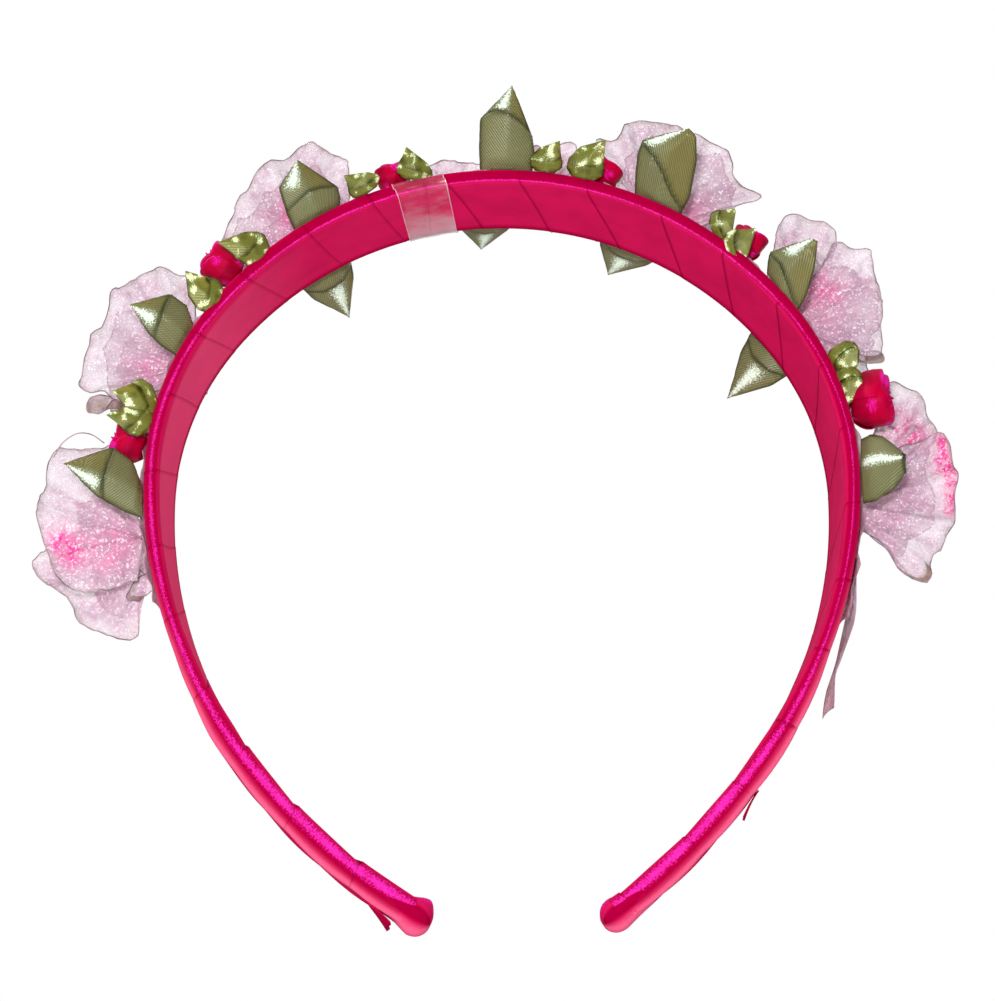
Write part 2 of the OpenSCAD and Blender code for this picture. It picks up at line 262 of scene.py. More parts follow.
def band_surface(s, around, side, lift):
    """Points on the band. around runs from 0 at the middle of the outside, over the near edge from 1
    to 4, across the inside from 4 to 5, and over the far edge back to 9. lift is the height off it."""
    s, around, lift = np.broadcast_arrays(np.asarray(s, float), around, lift)
    w, t = half_width(s, side), thickness(s, side)
    r = np.minimum(0.46 * t, corner_r)
    a = w - r
    stretch = np.clip(np.floor(around), 0, 8).astype(int)
    f = around - stretch
    turn = f * pi / 2
    zero, one = np.zeros_like(f), np.ones_like(f)
    forms = [
        (-a * f, t, zero, one),
        (-a - r * np.sin(turn), t - r + r * np.cos(turn), -np.sin(turn), np.cos(turn)),
        (-w, t - r - (t - 2 * r) * f, -one, zero),
        (-a - r * np.cos(turn), r - r * np.sin(turn), -np.cos(turn), -np.sin(turn)),
        (a * (2 * f - 1), zero, zero, -one),
        (a + r * np.sin(turn), r - r * np.cos(turn), np.sin(turn), -np.cos(turn)),
        (w, r + (t - 2 * r) * f, one, zero),
        (a + r * np.cos(turn), t - r + r * np.sin(turn), np.cos(turn), np.sin(turn)),
        (a * (1 - f), t, zero, one),
    ]
    y, d, ny, nd = (
        np.select([stretch == k for k in range(9)], [form[i] for form in forms]) for i in range(4)
    )
    point, normal = line_at(s, side)
    d = d + nd * lift
    return np.stack(
        [point[..., 0] + normal[..., 0] * d, y + ny * lift, point[..., 1] + normal[..., 1] * d], -1
    )


def grid_faces(rows, columns, flip=False, first=0):
    faces = []
    for r in range(rows - 1):
        for c in range(columns - 1):
            a = first + r * columns + c
            quad = (a, a + columns, a + columns + 1, a + 1)
            faces.append(quad[::-1] if flip else quad)
    return faces


def piece(name, points, faces, material, uv, masks):
    """A smooth mesh object from points in millimetres. uv and masks give a value for each point."""
    mesh = bpy.data.meshes.new(name)
    mesh.from_pydata((np.asarray(points, float).reshape(-1, 3) * MM).tolist(), [], faces)
    mesh.materials.append(material)
    corners = np.empty(len(mesh.loops), int)
    mesh.loops.foreach_get("vertex_index", corners)
    if uv is not None:
        layer = mesh.uv_layers.new(name="cloth")
        layer.data.foreach_set("uv", np.asarray(uv, np.float32).reshape(-1, 2)[corners].ravel())
    for mask, values in masks.items():
        mesh.attributes.new(mask, "FLOAT", "POINT").data.foreach_set(
            "value", np.asarray(values, np.float32).ravel()
        )
    mesh.polygons.foreach_set("use_smooth", [True] * len(mesh.polygons))
    mesh.validate()
    made = bpy.data.objects.new(name, mesh)
    scene.collection.objects.link(made)
    return made


def settle(made):
    """Puts what the modifiers make into the mesh, and removes them."""
    bpy.context.view_layer.update()
    shaped = made.evaluated_get(bpy.context.evaluated_depsgraph_get())
    mesh = bpy.data.meshes.new_from_object(shaped)
    made.modifiers.clear()
    made.data = mesh
    return made


def thicken(made, thickness_mm, offset=0.0):
    solidify = made.modifiers.new("thickness", "SOLIDIFY")
    solidify.thickness = thickness_mm * MM
    solidify.offset = offset
    solidify.use_even_offset = False
    return settle(made)


def effect_group(name, inputs, outputs):
    """A shader node group with number or vector inputs (name, default) and number outputs."""
    group = bpy.data.node_groups.new(name, "ShaderNodeTree")
    for label, default in inputs:
        kind = "NodeSocketFloat" if isinstance(default, float) else "NodeSocketVector"
        socket = group.interface.new_socket(label, in_out="INPUT", socket_type=kind)
        if isinstance(default, float):
            socket.default_value = default
    for label in outputs:
        group.interface.new_socket(label, in_out="OUTPUT", socket_type="NodeSocketFloat")
    return group, group.nodes.new("NodeGroupInput"), group.nodes.new("NodeGroupOutput")


# Satin weave: fine ribs across the ribbon, slubs along it, and a glint that breaks up
# like the floats of the warp; the glint breaks up the painted highlight and makes the satin a little
# glossier. Coordinates are the ribbon's own, in millimetres.
weave, weave_in, weave_out = effect_group(
    "satin_weave", [("Ribbon", (0, 0, 0)), ("Rib", 0.4), ("Slant", 1.0)], ["Height", "Rib Shade", "Glint"]
)
weave_xy = node(weave, "ShaderNodeSeparateXYZ", {0: weave_in.outputs["Ribbon"]})
weave_slant = maths(
    weave, "MULTIPLY_ADD", weave_xy.outputs[1], weave_in.outputs["Slant"], weave_xy.outputs[0]
)
weave_turns = maths(weave, "DIVIDE", weave_slant, weave_in.outputs["Rib"])
weave_wave = maths(weave, "SINE", maths(weave, "MULTIPLY", weave_turns, 2 * pi))
weave_rib = maths(weave, "MULTIPLY_ADD", weave_wave, 0.5, 0.5)
weave_slub = node(
    weave,
    "ShaderNodeTexNoise",
    {
        "Vector": node(
            weave, "ShaderNodeMapping", {"Vector": weave_in.outputs["Ribbon"], "Scale": (0.9, 6.0, 1.0)}
        ).outputs[0],
        "Scale": 1.0,
        "Detail": 3.0,
    },
)
weave_float = node(
    weave,
    "ShaderNodeTexNoise",
    {"Vector": weave_in.outputs["Ribbon"], "Scale": 3.4, "Detail": 4.0, "Roughness": 0.7},
)
weave.links.new(
    maths(weave, "MULTIPLY_ADD", weave_slub.outputs[0], 0.8, weave_rib), weave_out.inputs["Height"]
)
weave.links.new(weave_rib, weave_out.inputs["Rib Shade"])
weave.links.new(ramp(weave, weave_float.outputs[0], 0.42, 0.62), weave_out.inputs["Glint"])


def satin(
    name, deep, full, soft, bright, rib, slant, rib_depth, roughness, tint, rib_contrast=0.12, polish=0.4
):
    """Satin ribbon: deep is a painted shade for folds, edges and seams, full its colour on the flat, soft
    a painted side light where it turns to the light (on the large leaves a golden painted shade), and
    bright a painted highlight. The rim mask lays the painted shade, the turned mask the painted side
    light, and the highlight mask a broken painted highlight."""
    material, tree, shader = principled(name, Specular_IOR_Level=polish, Specular_Tint=(*tint, 1))
    ribbon = node(tree, "ShaderNodeUVMap", uv_map="cloth").outputs[0]
    rim = node(tree, "ShaderNodeAttribute", attribute_name="rim").outputs["Fac"]
    painted_highlight = node(tree, "ShaderNodeAttribute", attribute_name="painted_highlight").outputs["Fac"]
    cloth = node(tree, "ShaderNodeGroup", node_tree=weave)
    tree.links.new(ribbon, cloth.inputs["Ribbon"])
    cloth.inputs["Rib"].default_value = rib
    cloth.inputs["Slant"].default_value = slant
    place = node(tree, "ShaderNodeTexCoord").outputs["Object"]
    patch = node(tree, "ShaderNodeTexNoise", {"Vector": place, "Scale": 140.0, "Detail": 3.0}).outputs[0]
    body = mix_colour(tree, ramp(tree, patch, 0.3, 0.7), (*full, 1), (*(0.86 * np.array(full)), 1))
    # Painted side light where the turned mask is high, then painted shade where the rim mask is high
    turned = node(tree, "ShaderNodeAttribute", attribute_name="turned").outputs["Fac"]
    body = mix_colour(tree, turned, body, (*soft, 1))
    body = mix_colour(tree, rim, body, (*deep, 1))
    shade = maths(tree, "MULTIPLY", cloth.outputs["Rib Shade"], rib_contrast)
    body = mix_colour(tree, shade, body, (*deep, 1))
    # A broken painted highlight where the highlight mask is high
    broken = maths(tree, "MULTIPLY_ADD", cloth.outputs["Glint"], 0.45, maths(tree, "MULTIPLY", painted_highlight, 0.75))
    shine = maths(tree, "MULTIPLY", ramp(tree, broken, 0.42, 1.02), ramp(tree, painted_highlight, 0.0, 0.3), clamp=True)
    tree.links.new(mix_colour(tree, shine, body, (*bright, 1)), shader.inputs["Base Color"])
    gloss = maths(tree, "SUBTRACT", roughness, maths(tree, "MULTIPLY", shine, 0.12))
    gloss = maths(tree, "MULTIPLY_ADD", cloth.outputs["Glint"], -0.05, gloss)
    tree.links.new(gloss, shader.inputs["Roughness"])
    bump = node(
        tree,
        "ShaderNodeBump",
        {"Height": cloth.outputs["Height"], "Distance": rib_depth * MM, "Strength": 0.7},
    )
    tree.links.new(bump.outputs[0], shader.inputs["Normal"])
    return material


pink_satin = satin(
    "pink_satin",
    deep=(0.36, 0.0, 0.036),
    full=(0.68, 0.010, 0.104),
    soft=(0.96, 0.13, 0.28),
    bright=(0.86, 0.025, 0.42),
    rib=0.24,
    slant=0.0,
    rib_depth=0.02,
    roughness=0.5,
    tint=(1.0, 0.12, 0.5),
    polish=0.0,
)

turn_pitch = 12.7
turn_lap = 2.2
least_turn = 0.4
satin_t = 0.07
# How far each turn's edge stands off the turn below it, and how far the turn swells
edge_lift = {"crown": 0.06, "arm": 0.14}
puff_lift = {"crown": 0.02, "arm": 0.34}
# How far a turn's edge stands off the inner corner of the arm
free_edge = {-1: 0.55, 1: 0.3}
tape_at = -12.6
# How much of a turn's slant falls on the inside of the band
inside_slant = {-1: 0.40, 1: 0.46}
edge_slant = 0.05
# Strength of the painted shade along the seams, on the left and the right
seam_dark = {-1: 0.35, 1: 0.55}
stretch_steps = [5, 5, 5, 8, 10, 6, 4, 5, 5]
# Millimetres of ribbon in each stretch of a turn, from the middle of the outside
girth_at = np.cumsum([0, 9.9, 1.7, 0.8, 1.7, 19.8, 1.7, 0.8, 1.7, 9.9])
ribbon_columns = np.linspace(0, 1, 11) ** 1.3


def wind(name, side):
    inside = inside_slant[side]
    outside = (1 - inside - 2 * edge_slant) / 2
    advance_at = np.cumsum([0, outside, edge_slant * 0.4, edge_slant * 0.2, edge_slant * 0.4, inside]
                           + [edge_slant * 0.4, edge_slant * 0.2, edge_slant * 0.4, outside])
    around = np.concatenate([k + np.arange(n) / n for k, n in enumerate(stretch_steps)])
    first = side * crown_r * radians(tape_at)
    last = tip_s(side)
    turns = int((last - first) / turn_pitch) + 2
    q = np.concatenate([n + np.interp(around, range(10), advance_at) for n in range(-1, turns)])
    length = np.concatenate(
        [n * girth_at[-1] + np.interp(around, range(10), girth_at) for n in range(-1, turns)]
    )
    # The left half is wound the other way round
    around = np.tile(around if side > 0 else 9 - around, turns + 1)
    # Wound by hand, so the turns wander a little
    upper = first + turn_pitch * q + 0.5 * np.sin(2.3 * q) + 0.3 * np.sin(5.1 * q)
    lower = upper + turn_pitch + turn_lap
    low, high = np.clip(upper, first, last), np.clip(lower, first, last)
    kept = high - low > least_turn
    length, around, upper, low, high = (values[kept, None] for values in (length, around, upper, low, high))
    s = low + (high - low) * ribbon_columns
    x = (s - upper) / (turn_pitch + turn_lap)
    on_arm = np.clip((s - flex_s + 10) / 20, 0, 1)
    edge = edge_lift["crown"] + (edge_lift["arm"] - edge_lift["crown"]) * on_arm
    edge = edge + free_edge[side] * on_arm * np.exp(-(((around - 3.7) / 0.8) ** 2))
    swell = puff_lift["crown"] + (puff_lift["arm"] - puff_lift["crown"]) * on_arm
    puff = swell * np.sin(pi * np.clip(x, 0, 1))
    lift = 0.02 + edge * (1 - np.clip(x, 0, 1)) ** 1.6 + puff
    points = band_surface(s, around, side, lift)
    rows, columns = s.shape
    uv = np.stack(np.broadcast_arrays(length, s - upper), -1)
    # The near edge is painted crimson as shade, with a painted highlight ridge that runs along its inner
    # corner at the top, in its middle at the sides and on its inner half along the arms. The far edge and
    # the seams get painted shade, and the outside of the arms and the left of the inside painted light.
    seam_shade = seam_dark[side] * np.clip(1 - x / 0.03, 0, 1)
    edge_shade = np.clip((around - 1.2) * 2, 0, 1) * np.clip((3.75 - around) * 2.6, 0, 1)
    far_edge_shade = np.isin(np.floor(around), [5, 6, 7])
    corner = np.minimum(0.46 * thickness(s, side), corner_r) * pi / 2
    flat = thickness(s, side) - corner * 4 / pi
    edge_mm = np.clip(around - 1, 0, 1) * corner + np.clip(around - 2, 0, 1) * flat
    edge_mm = edge_mm + np.clip(around - 3, 0, 1) * corner - corner - flat / 2
    ridge_at = np.interp(s, [0, 45, 80, flex_s, flex_s + 25], [0.96, 0.9, 0.0, 0.2, 0.85])
    side_w = {-1: 0.36, 1: 0.14}[side]
    ridge_w = np.interp(s, [0, 45, 80, flex_s - 10, flex_s + 25], [0.16, 0.18, side_w, side_w + 0.06, 0.8])
    ridge_highlight = np.exp(-(((edge_mm - ridge_at) / ridge_w) ** 2)) * (
        0.9 + 0.1 * np.sin(0.9 * s + 2 * np.sin(0.31 * s))
    )
    ridge_highlight = ridge_highlight * ((around > 1) & (around < 4)) * np.interp(
        s, [45, 80, flex_s, flex_s + 25], [1.1, 0.85, 0.9, 1.1]
    )
    outer_side_light = np.clip((2.1 - around) * 1.4, 0, 1) * (around > 0.7) * np.clip((s - flex_s + 25) / 30, 0, 1)
    inner_side_light = (np.abs(around - 4.5) < 0.5) * np.interp(
        s, [36, 60, 120], [0.02, 0.44, 0.5] if side < 0 else [0.0, 0.0, 0.2]
    )
    # Masks for the satin: painted shade, painted highlight and painted side light
    masks = {
        "rim": np.clip(edge_shade + far_edge_shade + seam_shade - outer_side_light, 0, 1),
        "painted_highlight": ridge_highlight * (1 - 0.5 * seam_shade),
        "turned": np.clip(outer_side_light + inner_side_light, 0, 1),
    }
    made = piece(name, points, grid_faces(rows, columns), pink_satin, uv, masks)
    thicken(made, satin_t, -1.0)
    return made


for side, word in ((-1, "left"), (1, "right")):
    winding = wind(f"satin_{word}", side)
    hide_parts(f"wrap_crown_{word}", f"wrap_{word}_arm")
    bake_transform(winding)


# ---------------------------------------------------------------- folded tips
# At each tip the satin is folded over the end of the former and glued down in a soft
# tongue, fatter on the left, with creases that run into it from the last turn.
fold_d = {-1: 6.4, 1: 5.6}
fold_back = 8.0
fold_past = 2.7


def tip_fold(name, side):
    rows, columns = 45, 57
    t, turn = np.meshgrid(np.linspace(0, 1, rows) ** 0.8, np.linspace(0, 2 * pi, columns), indexing="ij")
    s = tip_s(side) - fold_back + t * (fold_back + fold_past)
    middle, normal = line_at(s, side)
    end = np.sqrt(np.clip(1 - np.clip((t - 0.72) / 0.28, 0, 1) ** 2.4, 0, 1))
    r = fold_d[side] / 2
    half = np.interp(t, [0, 0.25, 0.5, 0.72, 1], [1.75, 2.15, 2.4, r, r]) * end
    wide = np.interp(t, [0, 0.3, 0.72, 1], [4.9, 5.1, 4.9, 4.6]) * np.sqrt(end)
    crease = 0.5 * np.exp(-(((turn - 1.05 - 0.5 * t) / 0.13) ** 2)) * t * end
    crease += 0.35 * np.exp(-(((turn - 2.25 + 0.35 * t) / 0.15) ** 2)) * np.clip(t * 2 - 0.6, 0, 1) * end
    gather = 0.10 * np.sin(7 * turn + 6 * t) * t * end
    bump = 0.45 * np.exp(-(((turn - 2.9) / 0.5) ** 2) - ((t - 0.86) / 0.1) ** 2) * (side < 0)
    out = half - crease + gather + bump
    d = tip_t / 2 + out * np.cos(turn) + 0.15 * t
    y = -np.sign(np.sin(turn)) * np.abs(np.sin(turn)) ** 0.72 * (wide - crease * 0.6)
    points = np.stack([middle[..., 0] + normal[..., 0] * d, y, middle[..., 1] + normal[..., 1] * d], -1)
    uv = np.stack([turn * r, s], -1)
    # Painted shade on the near side of the tongue and in its creases, a painted highlight band on its near
    # inner side, and painted light on its outer side
    masks = {
        "rim": np.clip(1.1 * np.exp(-(((turn - 1.75 + 0.2 * t) / 0.42) ** 2)) + crease * 2, 0, 1),
        "painted_highlight": np.exp(-(((turn - 2.55 - 0.3 * t) / 0.32) ** 2)) * (1 - 0.3 * t),
        "turned": np.clip((1.25 - turn) * 1.6, 0, 1) + 0.5 * (turn > 5),
    }
    made = piece(name, points, grid_faces(rows, columns, side < 0), pink_satin, uv, masks)
    weld = made.modifiers.new("weld", "WELD")
    weld.merge_threshold = 0.02 * MM
    return settle(made)


for side, word in ((-1, "left"), (1, "right")):
    fold = tip_fold(f"folded_tip_{word}", side)
    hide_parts(f"tip_fold_{word}")
    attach(fold, f"{word}_arm")

# ---------------------------------------------------------------- cut ribbon ends
# The ribbon's two cut ends lie on the outside of the arms and curl a little off them.
# Their zigzag cut keeps the satin from fraying.
end_half = 2.6
end_l = 4.4
end_t = 0.3
end_share = {-1: 0.90, 1: 0.42}
end_twist = {-1: radians(13), 1: radians(5)}


def ribbon_end(name, side):
    rows, columns = 15, 25
    t, c = np.meshgrid(np.linspace(0, 1, rows), np.linspace(-1, 1, columns), indexing="ij")
    zigzag = 0.25 * (1 - np.abs((2 * (c + 1)) % 2 - 1)) * t
    s = flex_s + end_share[side] * arm_l[side] + (t - 0.5) * end_l + zigzag
    point, normal = line_at(s, side)
    twist = end_twist[side] * t
    d = thickness(s, side) + 0.45 + 0.2 * t + 0.5 * t**2.2 + (c + 1) * end_half * np.sin(twist)
    y = c * end_half * np.cos(twist) * (1 - 0.1 * t) - 1.2
    points = np.stack([point[..., 0] + normal[..., 0] * d, y, point[..., 1] + normal[..., 1] * d], -1)
    uv = np.stack([c * end_half, t * end_l], -1)
    # The cut end takes painted shade, deeper towards its curled end, and no painted highlight
    made = piece(
        name, points, grid_faces(rows, columns), pink_satin, uv, {"rim": 0.4 + 0.5 * t, "painted_highlight": 0 * t}
    )
    return thicken(made, end_t)


for side, word in ((-1, "left"), (1, "right")):
    end = ribbon_end(f"cut_end_{word}", side)
    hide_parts(f"ribbon_end_{word}")
    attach(end, f"{word}_arm")

# ---------------------------------------------------------------- sheer base ribbon
# A strip of shimmering organza ribbon is glued along the outside of the crown under the
# flowers. Its loose end runs on past the right temple and curls off the arm.
organza_mesh, organza_in, organza_out = effect_group(
    "organza_mesh", [("Place", (0, 0, 0)), ("Cover", 0.6)], ["Alpha", "Wrinkle", "Sparkle", "Cloud"]
)
crumple = node(
    organza_mesh,
    "ShaderNodeTexNoise",
    {
        "Vector": organza_in.outputs["Place"],
        "Scale": 620.0,
        "Detail": 5.0,
        "Roughness": 0.65,
        "Distortion": 0.8,
    },
)
cloud = node(
    organza_mesh,
    "ShaderNodeTexNoise",
    {"Vector": organza_in.outputs["Place"], "Scale": 170.0, "Detail": 3.0},
)
glint = node(organza_mesh, "ShaderNodeTexVoronoi", {"Vector": organza_in.outputs["Place"], "Scale": 3600.0})
glint_share = node(organza_mesh, "ShaderNodeSeparateXYZ", {0: glint.outputs["Color"]}).outputs[0]
cover = maths(organza_mesh, "MULTIPLY_ADD", ramp(organza_mesh, crumple.outputs[0], 0.35, 0.65), 0.30,
              organza_in.outputs["Cover"])
cover = maths(
    organza_mesh, "MULTIPLY_ADD", ramp(organza_mesh, cloud.outputs[0], 0.35, 0.7), 0.22, cover, clamp=True
)
organza_mesh.links.new(cover, organza_out.inputs["Alpha"])
organza_mesh.links.new(crumple.outputs[0], organza_out.inputs["Wrinkle"])
organza_mesh.links.new(ramp(organza_mesh, glint_share, 0.72, 0.96), organza_out.inputs["Sparkle"])
organza_mesh.links.new(ramp(organza_mesh, cloud.outputs[0], 0.3, 0.7), organza_out.inputs["Cloud"])


def organza(name, pale, tinted, hot, hem, cover):
    """Sheer crystal organza. The blush mask dyes it hot pink, the hem mask shows its woven edge, and the
    valley mask paints shade into the pleats.
    """
    material, tree, shader = principled(
        name, Specular_IOR_Level=0.5, Sheen_Weight=0.15, Sheen_Roughness=0.3, Sheen_Tint=(1.0, 0.92, 1.0, 1)
    )
    place = node(tree, "ShaderNodeTexCoord").outputs["Object"]
    cloth = node(tree, "ShaderNodeGroup", node_tree=organza_mesh)
    tree.links.new(place, cloth.inputs["Place"])
    cloth.inputs["Cover"].default_value = cover
    blush = node(tree, "ShaderNodeAttribute", attribute_name="blush").outputs["Fac"]
    edge = node(tree, "ShaderNodeAttribute", attribute_name="hem").outputs["Fac"]
    valley_shade = node(tree, "ShaderNodeAttribute", attribute_name="valley_shade").outputs["Fac"]
    colour = mix_colour(tree, cloth.outputs["Cloud"], (*pale, 1), (*tinted, 1))
    # Painted shade in the valleys of the pleats
    colour = mix_colour(tree, maths(tree, "MULTIPLY", valley_shade, 0.8), colour, (*(0.62 * np.array(tinted)), 1))
    dye = maths(
        tree, "MULTIPLY", blush, ramp(tree, cloth.outputs["Wrinkle"], 0.3, 0.7, 0.55, 1.2), clamp=True
    )
    colour = mix_colour(tree, dye, colour, (*hot, 1))
    # Sparkle marks glossier threads, and their near-white colour is a painted highlight
    colour = mix_colour(
        tree, maths(tree, "MULTIPLY", cloth.outputs["Sparkle"], 0.6), colour, (0.98, 0.90, 0.96, 1)
    )
    worn = maths(tree, "MULTIPLY", edge, ramp(tree, cloth.outputs["Cloud"], 0.2, 0.8, 0.6, 1.0))
    tree.links.new(mix_colour(tree, worn, colour, (*hem, 1)), shader.inputs["Base Color"])
    seen = maths(
        tree, "MAXIMUM", cloth.outputs["Alpha"], maths(tree, "MULTIPLY", cloth.outputs["Sparkle"], 0.95)
    )
    seen = maths(tree, "MULTIPLY_ADD", maths(tree, "MAXIMUM", dye, valley_shade), 0.3, seen)
    seen = maths(tree, "MAXIMUM", seen, maths(tree, "MULTIPLY", edge, 0.9), clamp=True)
    tree.links.new(seen, shader.inputs["Alpha"])
    tree.links.new(ramp(tree, cloth.outputs["Sparkle"], 0.0, 1.0, 0.5, 0.18), shader.inputs["Roughness"])
    bump = node(
        tree, "ShaderNodeBump", {"Height": cloth.outputs["Wrinkle"], "Distance": 0.0004, "Strength": 0.8}
    )
    tree.links.new(bump.outputs[0], shader.inputs["Normal"])
    return material


base_organza = organza(
    "organza_base",
    pale=(0.80, 0.60, 0.72),
    tinted=(0.62, 0.36, 0.50),
    hot=(0.80, 0.05, 0.35),
    hem=(0.35, 0.20, 0.24),
    cover=0.45,
)
base_half = 7.5
organza_t = 0.08
base_from, base_to = -106.0, 108.0
base_d = 0.61


def outside(s, d, y):
    """Points d off the outside of the band at signed distances s from its top, right of it above 0."""
    side = np.where(np.asarray(s) < 0, -1, 1)
    right, right_n = line_at(np.abs(s), 1)
    left, left_n = line_at(np.abs(s), -1)
    point = np.where(side[..., None] > 0, right, left)
    normal = np.where(side[..., None] > 0, right_n, left_n)
    d = d + thickness(np.abs(s), 1)
    return np.stack([point[..., 0] + normal[..., 0] * d, y, point[..., 1] + normal[..., 1] * d], -1)


rows, columns = 240, 19
t, c = np.meshgrid(np.linspace(0, 1, rows), np.linspace(-1, 1, columns), indexing="ij")
s = -along(base_from) + t * (along(base_from) + along(base_to))
frill = 0.35 * np.abs(c) ** 3 * (1 + np.sin(s * 0.9 + 1.5 * c)) + 0.12 * np.abs(c) * np.sin(s * 2.1 + 2 * c)
y = c * base_half * (1 + 0.04 * np.sin(s * 0.5 + c))
points = outside(s, base_d + np.maximum(frill, 0), y)
masks = {"hem": np.abs(c) > 0.9, "blush": 0.2 + 0.2 * np.sin(s * 0.13)}
base = piece(
    "sheer_base_ribbon", points, grid_faces(rows, columns), base_organza, np.stack([s, y], -1), masks
)
thicken(base, organza_t)
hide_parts("base_ribbon")
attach(base, "crown")

tail_half = 6.0
tail_from = 100.0
tail_l = 24.0
rows, columns = 61, 15
t, c = np.meshgrid(np.linspace(0, 1, rows), np.linspace(-1, 1, columns), indexing="ij")
s = along(tail_from) + t * tail_l
rise = 1.9 * np.sin(np.clip(t * 1.5, 0, 1) * pi / 2) ** 2
flick = 2.2 * np.clip(t - 0.8, 0, 1) ** 1.5 * 5
stand_off = base_d + 0.3 + rise + flick
y = c * tail_half * (1 - 0.08 * t) + 0.5 * t
stand_off = stand_off + 0.35 * c * c * np.sin(t * 7) + 0.2 * c * np.sin(t * 11)
tail = piece(
    "ribbon_tail_end",
    outside(s, stand_off, y),
    grid_faces(rows, columns),
    base_organza,
    np.stack([s, y], -1),
    {"hem": (np.abs(c) > 0.88) | (t > 0.985), "blush": 0 * t + 0.1},
)
thicken(tail, organza_t)
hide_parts("ribbon_tail")
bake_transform(tail)

# ---------------------------------------------------------------- glue and clear tape
# Dots of hot glue hold each flower to the base ribbon. A turn of clear sticky tape, with
# its end torn a little askew, holds the satin where the two windings meet.
glue, glue_tree, glue_shader = principled("set_glue", Specular_IOR_Level=0.5, Roughness=0.25)
glue_place = node(glue_tree, "ShaderNodeTexCoord").outputs["Object"]
glue_cloud = node(
    glue_tree, "ShaderNodeTexNoise", {"Vector": glue_place, "Scale": 900.0, "Detail": 3.0}
).outputs[0]
glue_tree.links.new(
    mix_colour(glue_tree, glue_cloud, (0.86, 0.82, 0.66, 1), (0.72, 0.66, 0.48, 1)),
    glue_shader.inputs["Base Color"],
)
glue_tree.links.new(
    node(glue_tree, "ShaderNodeBump", {"Height": glue_cloud, "Distance": 0.0001}).outputs[0],
    glue_shader.inputs["Normal"],
)
repaint("glue_dots", glue)

tape_film, tape_tree, tape_shader = principled(
    "clear_tape", Specular_IOR_Level=0.6, Coat_Weight=0.5, Coat_Roughness=0.1
)
tape_place = node(tape_tree, "ShaderNodeTexCoord").outputs["Object"]
tape_edge = node(tape_tree, "ShaderNodeAttribute", attribute_name="edge").outputs["Fac"]
tape_air = node(
    tape_tree, "ShaderNodeTexNoise", {"Vector": tape_place, "Scale": 170.0, "Detail": 2.0}
).outputs[0]
tape_seen = maths(tape_tree, "MULTIPLY_ADD", ramp(tape_tree, tape_air, 0.42, 0.66), 0.08, 0.02)
tape_seen = maths(tape_tree, "MULTIPLY_ADD", tape_edge, 0.45, tape_seen, clamp=True)
tape_tree.links.new(tape_seen, tape_shader.inputs["Alpha"])
tape_tree.links.new(
    mix_colour(tape_tree, tape_edge, (0.90, 0.70, 0.80, 1), (0.97, 0.90, 0.94, 1)),
    tape_shader.inputs["Base Color"],
)
tape_tree.links.new(ramp(tape_tree, tape_air, 0.3, 0.7, 0.12, 0.3), tape_shader.inputs["Roughness"])
tape_tree.links.new(
    node(
        tape_tree, "ShaderNodeBump", {"Height": tape_air, "Distance": 0.00008, "Strength": 0.4}
    ).outputs[0],
    tape_shader.inputs["Normal"],
)

tape_half = 4.4
tape_skew = 1.1
tape_t = 0.06
rows, columns = 82, 25
around = np.linspace(0, 9, rows)[:, None]
c = np.sin(np.linspace(-pi / 2, pi / 2, columns))[None, :]
lean = np.interp(around, [0, 2, 3, 4, 5, 6, 9], [-1, -1, -0.8, -0.6, 0.6, 1, 1]) * tape_skew
s = crown_r * radians(-tape_at) - (c * tape_half + lean + 0.03 * np.sin(around * 3 + 3 * c))
over_base = np.interp(around, [0, 0.62, 0.72, 8.28, 8.38, 9], [0.75, 0.75, 0.28, 0.28, 0.75, 0.75])
points = band_surface(s, around, -1, over_base + 0.05 * np.cos(c * 5))
haze = 0.55 * np.clip((around - 4.45) * 2, 0, 1) * (around < 5.8)
masks = {"edge": np.maximum(np.abs(c) > 0.988, haze + 0 * c)}
tape = piece("tape_turn", points, grid_faces(rows, columns, True), tape_film, None, masks)
thicken(tape, tape_t)
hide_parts("tape_loop")
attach(tape, "crown")

# ---------------------------------------------------------------- folded ribbon leaves
# Each leaf is a length of olive satin ribbon, folded to a point and then folded up over
# itself in front, so that a pocket with a free upper edge stands before a creased tip.
# Its pinched foot is glued to the near side of the band.
leaf_satin = satin(
    "leaf_satin",
    deep=(0.040, 0.042, 0.012),
    full=(0.205, 0.205, 0.088),
    soft=(0.185, 0.150, 0.032),
    bright=(0.80, 0.96, 0.80),
    rib=0.46,
    slant=0.7,
    rib_depth=0.06,
    roughness=0.40,
    tint=(0.95, 1.0, 0.75),
    rib_contrast=0.55,
)


def resample(points, n):
    points = np.asarray(points, float)
    lengths = np.concatenate([[0], np.cumsum(np.linalg.norm(np.diff(points, axis=0), axis=1))])
    at = np.linspace(0, lengths[-1], n)
    return np.stack([np.interp(at, lengths, points[:, k]) for k in range(points.shape[1])], -1)


leaf_t = 0.2


